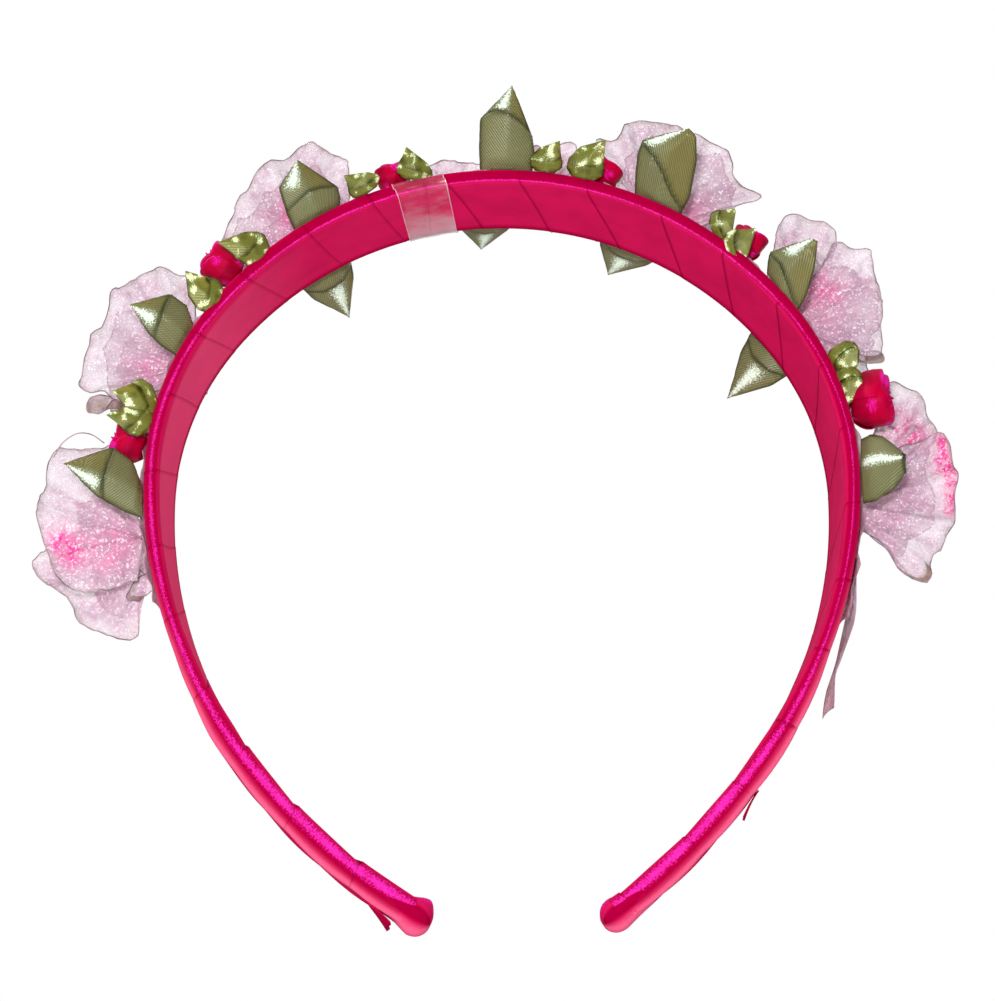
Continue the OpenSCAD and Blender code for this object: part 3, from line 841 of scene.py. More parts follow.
def folded_leaf(left, right, fold, streak, roof=1.1, belly=1.0, shadow=0.45):
    """Points (across, up, towards the viewer) of a folded leaf, with its faces, UVs and masks. left and
    right run from the foot to the tip, and fold is the pocket's upper edge, from left to right. streak
    says where its painted highlight lies: on its tip or its belly, how far across, and how widely."""
    rows, columns = 25, 17
    c = np.linspace(0, 1, columns)[None, :, None]
    lefts, rights = resample(left, rows)[:, None], resample(right, rows)[:, None]
    back = lefts * (1 - c) + rights * c
    width = np.linalg.norm(rights - lefts, axis=-1)
    peak = roof * np.minimum(width / 6, 1)

    def roof_out(across, height):
        return height * (1 - np.abs(2 * across - 1)) ** 0.9

    back_out = roof_out(c[..., 0], peak) - 0.25
    left_path, right_path = resample(left, 200), resample(right, 200)
    left_to = np.argmin(np.linalg.norm(left_path - np.asarray(fold[0]), axis=1))
    right_to = np.argmin(np.linalg.norm(right_path - np.asarray(fold[-1]), axis=1))
    front_rows = 21
    t = np.linspace(0, 1, front_rows)[:, None, None]
    side_l = resample(left_path[: max(left_to, 2)], front_rows)[:, None]
    side_r = resample(right_path[: max(right_to, 2)], front_rows)[:, None]
    top = resample([side_l[-1, 0], *fold[1:-1], side_r[-1, 0]], columns)[None]
    foot = side_l[:1] * (1 - c) + side_r[:1] * c
    ends = (1 - c) * ((1 - t) * side_l[:1] + t * side_l[-1:]) + c * ((1 - t) * side_r[:1] + t * side_r[-1:])
    front = (1 - c) * side_l + c * side_r + (1 - t) * foot + t * top - ends
    bulge = np.sin(pi * c[..., 0]) ** 0.7
    front_out = roof_out(c[..., 0], roof * 0.9) + bulge * belly * (0.45 + 0.55 * t[..., 0]) + 0.02
    front_out = front_out * (0.4 + 0.6 * np.minimum(1, t[..., 0] * 4 + 0.15))
    points = np.concatenate(
        [
            np.concatenate([back, back_out[..., None]], -1).reshape(-1, 3),
            np.concatenate([front, front_out[..., None]], -1).reshape(-1, 3),
        ]
    )
    faces = grid_faces(rows, columns) + grid_faces(front_rows, columns, False, rows * columns)
    across = np.broadcast_to(c[..., 0], (rows, columns))
    front_across = np.broadcast_to(c[..., 0], (front_rows, columns))
    up = np.broadcast_to(np.linspace(0, 1, rows)[:, None], (rows, columns))
    front_up = np.broadcast_to(t[..., 0], (front_rows, columns))
    # Painted shade along the edges and in a line just above the fold, and on the pocket's edges; a painted
    # highlight streak; and a golden painted side light on the facet beyond the streak, darker on the large
    # leaves and lighter on the small ones
    edge_shade = np.clip(np.abs(2 * across - 1) * 6 - 5, 0, 1)
    fold_line = resample([left_path[left_to], *fold[1:-1], right_path[right_to]], 60)
    from_fold = np.linalg.norm(back[:, :, None] - fold_line, axis=-1).min(-1)
    edge_shade = np.maximum(edge_shade, np.clip(1.3 - from_fold / shadow, 0, 1))
    front_edge_shade = np.clip(np.maximum(np.abs(2 * front_across - 1) * 7 - 6, front_up * 14 - 13), 0, 1)
    kind, where, spread = streak
    if kind == "tip":
        painted_highlight = 1.1 * np.exp(-(((across - where) / spread) ** 2)) * np.clip(up * 6 - 2.6, 0, 1)
        painted_highlight = painted_highlight * (edge_shade < 0.5)
        front_painted_highlight = 0.3 * np.exp(-(((front_across - where - 0.15) / 0.10) ** 2)) * front_up
    else:
        painted_highlight = 0.3 * np.exp(-(((across - where) / spread) ** 2)) * np.clip(up * 6 - 4, 0, 1)
        front_painted_highlight = 1.1 * np.exp(-(((front_across - where) / spread) ** 2))
    turned = np.clip((across - where - spread) * 3, 0, 0.85)
    masks = {
        "turned": np.concatenate([turned.ravel(), 0.0 * front_across.ravel()]),
        "rim": np.concatenate([edge_shade.ravel(), front_edge_shade.ravel()]) * 0.9,
        "painted_highlight": np.concatenate([painted_highlight.ravel(), front_painted_highlight.ravel()]),
    }
    return points, faces, points[:, :2].copy(), masks


def on_band(points, angle, distance, y, lean=0.0):
    """Local points (across, up, out) put on the band where its normal has turned through angle. up
    leans to the near side by lean, and out faces the viewer. Both are in degrees."""
    point, off = line_at(along(angle), 1 if angle >= 0 else -1)
    origin = np.array([point[0] + off[0] * distance, y, point[1] + off[1] * distance])
    a, lean = radians(angle), radians(lean)
    across = np.array([cos(a), 0, -sin(a)])
    normal = np.array([sin(a), 0, cos(a)])
    far = np.array([0, 1.0, 0])
    up = normal * cos(lean) - far * sin(lean)
    out = -far * cos(lean) - normal * sin(lean)
    return origin + points[:, :1] * across + points[:, 1:2] * up + points[:, 2:3] * out


def leaf_piece(name, shape, place, material):
    points, faces, uv, masks = shape
    made = piece(name, place(points), faces, material, uv, masks)
    weld = made.modifiers.new("weld", "WELD")
    weld.merge_threshold = 0.3 * MM
    settle(made)
    return thicken(made, leaf_t)


leaf_foot_d = 3.3
near_y = -8.8
# angle on the band, lean, then the left edge, the right edge and the pocket's fold, in millimetres,
# and where its painted highlight lies
near_leaves = [
    (-93.5, 24, [(-2.7, -0.3), (-1.6, 3.0), (0.7, 7.3), (6.0, 12.8)],
     [(3.7, -0.2), (7.3, 1.2), (9.4, 4.5), (6.0, 12.8)],
     [(0.3, 6.3), (2.4, 6.6), (4.6, 6.2), (7.0, 5.2), (9.2, 4.4)], ("tip", 0.22, 0.16)),
    (-61.5, 26, [(-3.0, -0.6), (-3.1, 2.4), (-2.5, 5.1), (-0.1, 10.6)],
     [(3.2, -0.3), (5.3, 2.3), (5.4, 5.8), (-0.1, 10.6)],
     [(-2.6, 4.4), (-1.4, 4.8), (0.6, 5.2), (2.6, 5.6), (5.3, 5.7)], ("tip", 0.3, 0.2)),
    (-31.5, 26, [(-3.6, -0.3), (-3.4, 2.4), (-2.4, 7.2), (2.6, 9.9)],
     [(5.3, -0.6), (6.2, 0.6), (6.7, 2.5), (2.8, 9.9)],
     [(-3.3, 3.2), (-1.6, 3.6), (1.4, 4.3), (4.0, 3.8), (6.7, 2.7)], ("tip", 0.3, 0.2)),
    (1, 26, [(-4.9, -0.3), (-5.1, 3.5), (-5.0, 8.4), (0.4, 14.3)],
     [(4.2, -0.3), (4.6, 2.5), (4.1, 5.6), (0.5, 14.3)],
     [(-4.2, 9.4), (-2.6, 9.8), (-0.7, 9.7), (1.9, 8.3), (3.9, 6.0)], ("tip", 0.32, 0.22)),
    (26.5, 34, [(-5.3, -0.8), (-6.8, 3.0), (-7.7, 6.0), (-7.9, 8.6), (-1.4, 13.6)],
     [(3.3, -0.6), (3.6, 3.0), (2.2, 9.0), (0.4, 12.9), (-1.2, 13.6)],
     [(-7.7, 8.3), (-4.6, 6.8), (-2.2, 5.1), (0.4, 2.4), (3.3, 0.2)], ("tip", 0.12, 0.14)),
    (51, 28, [(-5.2, -0.3), (-6.6, 1.2), (-7.6, 2.6), (-4.4, 9.4)],
     [(3.3, -1.0), (2.4, 2.0), (-0.1, 6.2), (-3.2, 9.8)],
     [(-7.3, 2.4), (-4.6, 2.6), (-1.5, 1.6), (0.8, 0.4), (3.2, -0.6)], ("tip", 0.2, 0.2)),
    (90.5, 26, [(-7.0, -0.3), (-7.6, 1.4), (-7.1, 3.4), (-3.3, 7.3)],
     [(4.3, -0.3), (4.0, 2.0), (2.5, 4.9), (-0.4, 7.3)],
     [(-3.9, 7.0), (-2.8, 7.2), (-2.0, 7.2), (-1.2, 7.2), (-0.2, 7.1)], ("belly", 0.42, 0.09)),
]
for i, (angle, lean, left, right, fold, streak) in enumerate(near_leaves, 1):
    name = f"folded_leaf_{i}"
    leaf = leaf_piece(
        name,
        folded_leaf(left, right, fold, streak),
        lambda points: on_band(points, angle, leaf_foot_d, near_y, lean),
        leaf_satin,
    )
    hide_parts(f"leaf_near_{i}")
    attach(leaf, "crown")

# Seven more leaves lie out over the far edge of the band and droop past it to the inside.
far_y = 8.8
far_lift = 0.7
edge_reach = 2.6
# angle, sideways turn, droop, width, length
far_leaves = [
    (-93.5, 0, 0, 10, 15),
    (-61.5, 4, 2, 10, 15),
    (-31.5, 2, 36, 10.8, 16),
    (1, -6, 15, 11, 14),
    (26.5, -14, 21, 12, 15),
    (51, 4, 60, 10.6, 16),
    (90.5, 0, 0, 10, 15),
]
for i, (angle, turn, droop, width, length) in enumerate(far_leaves, 1):
    shift = -3.4 if i in (4, 5) else 1.4 if i == 6 else 0
    left = [(shift - 0.3 * width, 0), (shift - 0.5 * width, 0.36 * length),
            (shift - 0.4 * width, 0.6 * length), (shift, length)]
    right = [(2 * shift - x, v) for x, v in left]
    fold = [(shift - 0.47 * width, 0.45 * length), (shift - 0.2 * width, 0.52 * length),
            (shift + 0.2 * width, 0.5 * length), (shift + 0.48 * width, 0.42 * length)]

    def under(points):
        """Up runs out over the far edge and then droops, and out faces down to the head"""
        bend = radians(droop)
        over, past = np.minimum(points[:, 1], edge_reach), np.maximum(points[:, 1] - edge_reach, 0)
        bent = bend * np.clip(points[:, 1] / edge_reach, 0, 1)
        far = over + past * cos(bend) - points[:, 2] * np.sin(bent)
        hang = 0.015 * np.maximum(past - 2, 0) ** 2 * sin(bend + 0.1)
        inward = past * sin(bend) + points[:, 2] * np.cos(bent) + hang
        across = points[:, 0] + np.tan(radians(turn)) * points[:, 1]
        return on_band(np.stack([across, far_lift - inward, -far], -1), angle, leaf_foot_d, far_y)

    leaf = leaf_piece(
        f"far_leaf_{i}", folded_leaf(left, right, fold, ("tip", 0.55, 0.2)), under, leaf_satin
    )
    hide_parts(f"leaf_far_{i}")
    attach(leaf, "crown")


# ---------------------------------------------------------------- organza flowers
# Each flower is a few sheets of crystal organza, gathered at the foot and glued down in
# a dot of glue. The sheets fan out in pleats, and a fine thread runs along their edges.
organza_ruffle = organza(
    "organza_ruffle",
    pale=(0.73, 0.57, 0.67),
    tinted=(0.56, 0.34, 0.46),
    hot=(0.84, 0.02, 0.30),
    hem=(0.20, 0.105, 0.06),
    cover=0.38,
)


def round_line(points, n):
    """A smooth line of n points through the given ones (Catmull-Rom)."""
    points = np.asarray(points, float)
    ends = np.concatenate([[2 * points[0] - points[1]], points, [2 * points[-1] - points[-2]]])
    at = np.linspace(0, len(points) - 1 - 1e-6, n)
    k = at.astype(int)
    f = (at - k)[:, None]
    a, b, c, d = (ends[k + j] for j in range(4))
    return 0.5 * (2 * b + (c - a) * f + (2 * a - 5 * b + 4 * c - d) * f**2 + (3 * b - a - 3 * c + d) * f**3)


def petal(rim, foot_u, near, lean, pleats, depth, seed, spots, worn=()):
    """One fanned sheet: rim runs from its left to its right as (across, up). near is how far towards
    the viewer its foot is, and lean how much further its rim is. Spots of hot dye are (across, up,
    spread, strength). Returns local points, faces, masks and the line round its free edge."""
    rows, columns = 17, 72
    r = np.linspace(0, 1, rows)[:, None] ** 0.85
    c = np.linspace(0, 1, columns)[None, :]
    edge = resample(round_line(rim, 300), columns)
    foot = np.stack([foot_u + (c[0] - 0.5) * 4.2, 0.15 + 0 * c[0]], -1)
    flat = foot[None] + (edge - foot)[None] * r[..., None]
    crumple = np.array(
        [[noise.noise((x * 0.34, y * 0.34, seed * 3.7)) for x, y in row] for row in flat.tolist()]
    )
    small = np.array(
        [[noise.noise((x * 0.9, y * 0.9, seed * 1.3 + 9)) for x, y in row] for row in flat.tolist()]
    )
    turns = pleats * c + seed * 0.3 + 0.13 * np.sin(5 * c + seed)
    wave = np.arcsin(0.96 * np.sin(2 * pi * turns)) / 1.3 + 0.25 * np.sin(4 * pi * turns + seed)
    out = near + lean * r**1.4 + depth * (0.15 + r) * wave * 0.6
    out = out + 1.2 * crumple * r + 0.5 * small * np.sqrt(r)
    u = flat[..., 0] + 0.35 * small * r + 0.25 * depth * r * np.cos(2 * pi * turns)
    v = flat[..., 1] + 0.3 * crumple * r
    hem = np.broadcast_to((r > 0.985) | (c < 0.006) | (c > 0.994), out.shape) * 0.6
    for first, last in worn:
        hem = np.maximum(hem, (r > 0.93) * (c >= first) * (c <= last))
    if spots == "worn":
        hem = np.maximum(hem, r > 0.7)
    # Painted shade along the valley of each pleat
    valley_shade = np.exp(-(((turns % 1 - 0.72) / 0.07) ** 2)) * np.clip(r * 1.6, 0, 1) * (1 - 0.5 * r)
    dye = 0.25 * (1 - r) ** 1.5 + 0 * out
    for su, sv, spread, strength in spots if spots != "worn" else ():
        dye = dye + strength * np.exp(-((flat[..., 0] - su) ** 2 + (flat[..., 1] - sv) ** 2) / spread**2)
    points = np.stack([u, np.maximum(v, 0.12), out], -1)
    border = np.concatenate([points[:, 0], points[-1, 1:], points[::-1, -1][1:]])
    masks = {"hem": hem, "blush": np.clip(dye, 0, 1), "valley_shade": valley_shade}
    return points, grid_faces(rows, columns), masks, border


fan_half = 1.35
fan_points = 9


def fan(width, height, tilt):
    """The rim of a plain fan that leans along the band by tilt."""
    angles = np.linspace(-fan_half, fan_half, fan_points)
    uneven = 1 + 0.10 * np.cos(3.1 * angles + width)
    return [(width * sin(a) * e + tilt, height * cos(a * 0.86) ** 0.6 * e) for a, e in zip(angles, uneven)]


def geometry_tree(name, inputs):
    """A Geometry Nodes tree with a geometry input and output, and named inputs (name, kind, default)."""
    tree = bpy.data.node_groups.new(name, "GeometryNodeTree")
    tree.interface.new_socket("Geometry", in_out="INPUT", socket_type="NodeSocketGeometry")
    tree.interface.new_socket("Geometry", in_out="OUTPUT", socket_type="NodeSocketGeometry")
    identifiers = {}
    for label, kind, default in inputs:
        socket = tree.interface.new_socket(label, in_out="INPUT", socket_type=kind)
        socket.default_value = default
        identifiers[label] = socket.identifier
    return tree, tree.nodes.new("NodeGroupInput"), tree.nodes.new("NodeGroupOutput"), identifiers


def grown(name, source, tree, identifiers, **values):
    """What a Geometry Nodes tree makes of a mesh, as a new piece with a plain mesh."""
    maker = bpy.data.objects.new(name, source)
    scene.collection.objects.link(maker)
    modifier = maker.modifiers.new("grow", "NODES")
    modifier.node_group = tree
    for label, value in values.items():
        modifier[identifiers[label.replace("_", " ")]] = value
    return settle(maker)


# Thread: a round thread swept along each line that it is given
thread_tree, thread_in, thread_out, thread_ids = geometry_tree(
    "edge_thread",
    [
        ("Radius", "NodeSocketFloat", 0.0001),
        ("Sides", "NodeSocketInt", 6),
        ("Finish", "NodeSocketMaterial", None),
    ],
)
thread_line = node(thread_tree, "GeometryNodeMeshToCurve", {0: thread_in.outputs["Geometry"]})
thread_round = node(
    thread_tree,
    "GeometryNodeCurvePrimitiveCircle",
    {"Resolution": thread_in.outputs["Sides"], "Radius": thread_in.outputs["Radius"]},
)
thread_tube = node(
    thread_tree,
    "GeometryNodeCurveToMesh",
    {"Curve": thread_line.outputs[0], "Profile Curve": thread_round.outputs[0], "Fill Caps": True},
)
thread_real = node(thread_tree, "GeometryNodeRealizeInstances", {0: thread_tube.outputs[0]})
thread_painted = node(
    thread_tree,
    "GeometryNodeSetMaterial",
    {"Geometry": thread_real.outputs[0], "Material": thread_in.outputs["Finish"]},
)
thread_tree.links.new(thread_painted.outputs[0], thread_out.inputs[0])

# Glitter: small five-sided flecks bonded to the cloth, each tipped a little its own way
glitter_tree, glitter_in, glitter_out, glitter_ids = geometry_tree(
    "bonded_glitter",
    [
        ("Flecks Per Square Metre", "NodeSocketFloat", 9000000.0),
        ("Fleck Radius", "NodeSocketFloat", 0.00005),
        ("Tip", "NodeSocketFloat", 0.6),
        ("Seed", "NodeSocketInt", 1),
        ("Finish", "NodeSocketMaterial", None),
    ],
)
glitter_points = node(
    glitter_tree,
    "GeometryNodeDistributePointsOnFaces",
    {
        "Mesh": glitter_in.outputs["Geometry"],
        "Density": glitter_in.outputs["Flecks Per Square Metre"],
        "Seed": glitter_in.outputs["Seed"],
    },
)
glitter_fleck = node(
    glitter_tree,
    "GeometryNodeMeshCircle",
    {"Vertices": 5, "Radius": glitter_in.outputs["Fleck Radius"]},
    fill_type="NGON",
)
tip_least = maths(glitter_tree, "MULTIPLY", glitter_in.outputs["Tip"], -1.0)
tip_low = node(glitter_tree, "ShaderNodeCombineXYZ", {0: tip_least, 1: tip_least, 2: -3.0}).outputs[0]
tip_high = node(
    glitter_tree,
    "ShaderNodeCombineXYZ",
    {0: glitter_in.outputs["Tip"], 1: glitter_in.outputs["Tip"], 2: 3.0},
).outputs[0]
glitter_tip = node(
    glitter_tree, "FunctionNodeRandomValue", {0: tip_low, 1: tip_high, "Seed": 5}, data_type="FLOAT_VECTOR"
)
glitter_turn = node(
    glitter_tree,
    "FunctionNodeRotateRotation",
    {
        0: glitter_points.outputs["Rotation"],
        1: node(glitter_tree, "FunctionNodeEulerToRotation", {0: glitter_tip.outputs[0]}).outputs[0],
    },
    rotation_space="LOCAL",
)
glitter_size = node(
    glitter_tree, "FunctionNodeRandomValue", {2: 0.5, 3: 1.25, "Seed": 8}, data_type="FLOAT"
)
glitter_set = node(
    glitter_tree,
    "GeometryNodeInstanceOnPoints",
    {
        "Points": glitter_points.outputs["Points"],
        "Instance": glitter_fleck.outputs[0],
        "Rotation": glitter_turn.outputs[0],
        "Scale": glitter_size.outputs[1],
    },
)
glitter_real = node(glitter_tree, "GeometryNodeRealizeInstances", {0: glitter_set.outputs[0]})
glitter_painted = node(
    glitter_tree,
    "GeometryNodeSetMaterial",
    {"Geometry": glitter_real.outputs[0], "Material": glitter_in.outputs["Finish"]},
)
glitter_tree.links.new(glitter_painted.outputs[0], glitter_out.inputs[0])

glitter, fleck_tree, fleck_shader = principled("pearl_glitter", Specular_IOR_Level=1.0, Metallic=0.25)
fleck_place = node(fleck_tree, "ShaderNodeTexCoord").outputs["Object"]
fleck_cell = node(fleck_tree, "ShaderNodeTexVoronoi", {"Vector": fleck_place, "Scale": 1500.0})
fleck_pick = node(fleck_tree, "ShaderNodeSeparateXYZ", {0: fleck_cell.outputs["Color"]})
fleck_warm = mix_colour(fleck_tree, fleck_pick.outputs[0], (0.80, 0.60, 0.72, 1), (0.50, 0.46, 0.56, 1))
fleck_colour = mix_colour(
    fleck_tree, ramp(fleck_tree, fleck_pick.outputs[1], 0.45, 0.6), fleck_warm, (0.44, 0.24, 0.36, 1)
)
fleck_tree.links.new(fleck_colour, fleck_shader.inputs["Base Color"])
fleck_tree.links.new(
    ramp(fleck_tree, fleck_pick.outputs[2], 0.0, 1.0, 0.12, 0.3), fleck_shader.inputs["Roughness"]
)

edge_thread, edge_tree, edge_shader = principled("edge_thread", Specular_IOR_Level=0.4, Roughness=0.5)
edge_place = node(edge_tree, "ShaderNodeTexCoord").outputs["Object"]
edge_worn = node(
    edge_tree, "ShaderNodeTexNoise", {"Vector": edge_place, "Scale": 300.0, "Detail": 3.0}
).outputs[0]
edge_tree.links.new(
    mix_colour(
        edge_tree, ramp(edge_tree, edge_worn, 0.35, 0.6), (0.16, 0.10, 0.13, 1), (0.42, 0.30, 0.33, 1)
    ),
    edge_shader.inputs["Base Color"],
)

trim_foot_d = 3.1
flower_y = 0.4
# angle, flat length of 25 mm ribbon, and the sheets: rim, foot across, near, lean, pleats, depth,
# hot pink spots (or "worn" for a scrap whose outer part takes the brown hem colour), and the stretches
# of the rim that take the hem colour
flowers = [
    (-99.5, 52, [
        ([(20.8, 3.0), (20.6, 9.0), (20.0, 14.1), (12.0, 16.9), (4.3, 16.9), (-3.0, 14.4), (-4.4, 9.0),
          (-4.0, 2.5)], 3.5, 3.2, 1.6, 3.5, 1.7, [(5.0, 14.2, 2.6, 1.0), (2.0, 12.0, 2.8, 0.8),
          (2.0, 5.5, 3.6, 0.45)]),
        ([(8.0, 8.0), (3.4, 19.9), (-4.8, 14.6), (-9.5, 12.4), (-12.7, 4.8), (-7.0, 3.0)], -2, 1.0, 0.4, 2,
         1.4, []),
        (fan(10, 13, 6), 3, -1.5, -6, 4, 2.0, [(0, 8, 5, 0.3)]),
        (fan(9, 12, 4), 1, -3.2, -10, 3.5, 2.0, []),
        ([(-6.6, 2.6), (-6.4, 4.6), (-5.0, 4.4), (-2.6, 2.2), (-2.4, 0.6)], -3.0, 1.5, 0.3, 1, 0.3, "worn"),
    ]),
    (-65.5, 49, [
        ([(-5.0, 0.8), (-9.3, 5.0), (-9.5, 9.8), (-10.8, 12.6), (-7.1, 14.9), (-2.2, 15.7), (3.9, 15.5),
          (7.0, 16.2), (11.7, 14.6), (15.5, 9.4), (15.6, 3.6), (9.0, 0.8)], 1, 2.6, 1.2, 5.5, 1.8,
         [(-2, 4, 3, 0.3)]),
        ([(-9.4, 7.4), (-11.9, 8.3), (-13.2, 10.7), (-11.0, 11.6), (-10.2, 10.6)], -6.0, 2.0, 0.2, 1, 0.2,
         "worn"),
        (fan(12, 13.5, 1), 0, 0.5, 0.0, 4, 1.8, [(4, 6, 4, 0.35)]),
        (fan(12, 13, 2), 0, -2, -7, 4, 2.2, []),
        (fan(10, 10, -2), 0, -3.4, -10, 3, 2.0, []),
    ]),
    (-32, 44, [
        ([(-12.0, 0.8), (-17.9, 4.4), (-9.6, 10.6), (-3.1, 14.9), (-1.3, 15.2), (2.2, 14.7), (6.4, 15.1),
          (9.5, 14.0), (11.9, 8.5), (10.6, 3.9), (7.0, 0.8)], -1, 2.4, 1.2, 5.5, 1.6, [(-12, 3, 2.6, 0.5),
          (-2, 5, 2.5, 0.4)]),
        (fan(11, 12.5, -1), -1, 0.2, 0.0, 4, 1.8, [(2, 5, 4, 0.25)]),
        (fan(11, 12, 0), 0, -2, -7, 4, 2.2, []),
        (fan(9, 9, 2), 0, -3.4, -11, 3, 2.0, []),
    ]),
    (-2, 11, [
        ([(-11.5, 0.8), (-11.0, 3.6), (-8.8, 4.9), (-5.0, 4.4), (-1.4, 3.4), (0.0, 0.8)], -5, 2.5, 0.8, 3,
         1.2, []),
        ([(4.5, 0.8), (5.8, 6.0), (8.4, 8.9), (10.6, 8.3), (13.0, 10.0), (15.6, 8.6), (16.2, 5.0),
          (13.0, 0.8)], 9, -1.0, -0.5, 3, 1.4, [(10, 4, 3.5, 0.5)]),
        (fan(8, 6.5, -1), 0, -3, -6, 4, 1.6, []),
    ]),
    (26.5, 51, [
        ([(-10.0, 0.8), (-16.3, 8.1), (-14.2, 11.0), (-12.8, 14.4), (-8.1, 16.4), (-1.8, 17.4), (2.5, 17.6),
          (6.6, 15.2), (8.6, 12.6), (12.2, 12.6), (13.8, 10.6), (10.0, 6.6), (7.0, 1.0)], 0, 2.2, 0.8, 6,
         1.7, [(4.5, 3.5, 3.2, 0.4)]),
        (fan(12, 15, 0), 0, 0.0, 0.0, 4, 1.9, [(-4, 8, 4, 0.2)]),
        (fan(12, 13, 1), 0, -2, -7, 4, 2.2, []),
        (fan(9, 9, -2), 0, -3.4, -10, 3, 2.0, []),
    ]),
    (55.5, 50, [
        ([(-9.0, 0.8), (-6.0, 6.0), (-8.6, 14.4), (-6.8, 16.4), (-4.6, 18.2), (-1.0, 17.0), (5.4, 13.8),
          (11.2, 9.2), (11.3, 5.8), (6.0, 1.2)], -1, 2.6, 1.2, 5, 1.6, [(-3, 7, 4.0, 0.55)]),
        ([(-10.0, 0.8), (-16.2, 6.9), (-17.6, 9.6), (-18.1, 11.9), (-15.5, 14.5), (-13.4, 15.9),
          (-10.0, 16.2), (-7.6, 13.6), (-4.0, 6.0)], -3, 1.0, 0.6, 3, 1.4, [(-12, 8, 3, 0.3)]),
        ([(8.6, 6.4), (11.4, 9.2), (13.0, 8.8), (11.6, 6.6), (8.0, 4.0)], 6.0, 1.2, 0.2, 1, 0.3, "worn"),
        (fan(12, 14.5, -1), 0, 0.0, 0.0, 4, 1.9, [(-2, 8, 4, 0.3)]),
        (fan(12, 13, 1), 0, -2, -7, 4, 2.2, []),
        (fan(9, 9, 2), 0, -3.4, -10, 3, 2.0, []),
    ]),
    (94, 53, [
        ([(-12.0, 0.8), (-16.5, 3.2), (-22.1, 4.2), (-24.8, 5.5), (-24.1, 7.6), (-22.5, 9.5), (-18.9, 11.9),
          (-16.4, 13.1), (-14.5, 13.0)], -5, 1.9, 0.8, 2.5, 1.3, [(-14.5, 9.6, 2.6, 0.9),
          (-17, 7, 2.6, 0.4)]),
        ([(-8.0, 0.8), (-15.0, 11.8), (-13.9, 15.0), (-8.4, 16.1), (-3.8, 16.5), (-0.1, 16.2), (4.8, 14.4),
          (6.0, 12.6), (11.3, 11.8), (8.7, 7.4), (5.3, 4.2), (2.6, 1.2)], -2, 2.8, 1.2, 6, 1.4,
         [(-14, 14.4, 2.0, 1.2), (-11, 15.2, 2.0, 1.2), (-8, 15.6, 2.0, 1.2), (-5, 16.2, 1.8, 1.2),
          (-2.2, 16.4, 1.5, 1.0), (-9, 4, 3, 0.4)], [(0.70, 1.0)]),
        (fan(10, 13.5, -7), -3, 0.6, 0.6, 4, 1.8, [(-4, 8, 4, 0.25)]),
        (fan(9, 12, -6), -2, -2, -7, 4, 2.0, []),
        (fan(7, 9, -8), -3, -3.4, -10, 3, 1.6, []),
    ]),
]
# Loops of thread that have pulled out of the first flower's edge
pulled = {1: [[(20.2, 13.8, 4.0), (22.2, 12.0, 4.6), (23.4, 9.4, 4.8), (23.0, 7.0, 4.4), (21.2, 5.0, 4.0)]]}


def line_mesh(name, lines):
    points = np.concatenate(lines) * MM
    starts = np.cumsum([0] + [len(line) for line in lines[:-1]])
    edges = [(a + k, a + k + 1) for a, line in zip(starts.tolist(), lines) for k in range(len(line) - 1)]
    mesh = bpy.data.meshes.new(name)
    mesh.from_pydata(points.tolist(), edges, [])
    return mesh


for i, (angle, cut_length, sheets) in enumerate(flowers, 1):
    points, faces, borders = [], [], []
    painted = {"hem": [], "blush": [], "valley_shade": []}
    for k, (rim, foot_u, near, lean, pleats, depth, *dyed) in enumerate(sheets):
        local, quads, masks, border = petal(rim, foot_u, near, lean, pleats, depth, i * 5 + k, *dyed)
        first = sum(len(p) for p in points)
        points.append(on_band(local.reshape(-1, 3), angle, trim_foot_d, flower_y))
        faces += [tuple(first + v for v in quad) for quad in quads]
        for mask, values in masks.items():
            painted[mask].append(values.ravel())
        borders.append(on_band(border, angle, trim_foot_d, flower_y))
    for loop in pulled.get(i, []):
        borders.append(on_band(round_line(loop, 30), angle, trim_foot_d, flower_y))
    masks = {mask: np.concatenate(values) for mask, values in painted.items()}
    uv = np.concatenate(points)[:, [0, 2]]
    flower = piece(f"organza_flower_{i}", np.concatenate(points), faces, organza_ruffle, uv, masks)
    glitters = grown(f"flower_glitter_{i}", flower.data, glitter_tree, glitter_ids, Seed=i, Finish=glitter)
    threads = grown(
        f"flower_thread_{i}",
        line_mesh(f"flower_thread_{i}", borders),
        thread_tree,
        thread_ids,
        Finish=edge_thread,
    )
    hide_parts(f"flower_{i}")
    for part in (flower, glitters, threads):
        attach(part, "crown")

# ---------------------------------------------------------------- rolled rosebuds
# Each bud is a strip of the pink satin rolled up tightly, with its outer turn pulled out
# into three petals whose lips curl over. The foot is glued to the base ribbon.
rose_satin = satin(
    "rose_satin",
    deep=(0.26, 0.0, 0.018),
    full=(0.50, 0.0, 0.034),
    soft=(0.56, 0.01, 0.10),
    bright=(0.78, 0.01, 0.32),
    rib=0.22,
    slant=0.15,
    rib_depth=0.03,
    roughness=0.36,
    tint=(1.0, 0.2, 0.6),
    polish=0.12,
)

roll_turns = 2.6
petals = 3
petal_step = 2.15
petal_half = 1.32
bud_t = 0.16


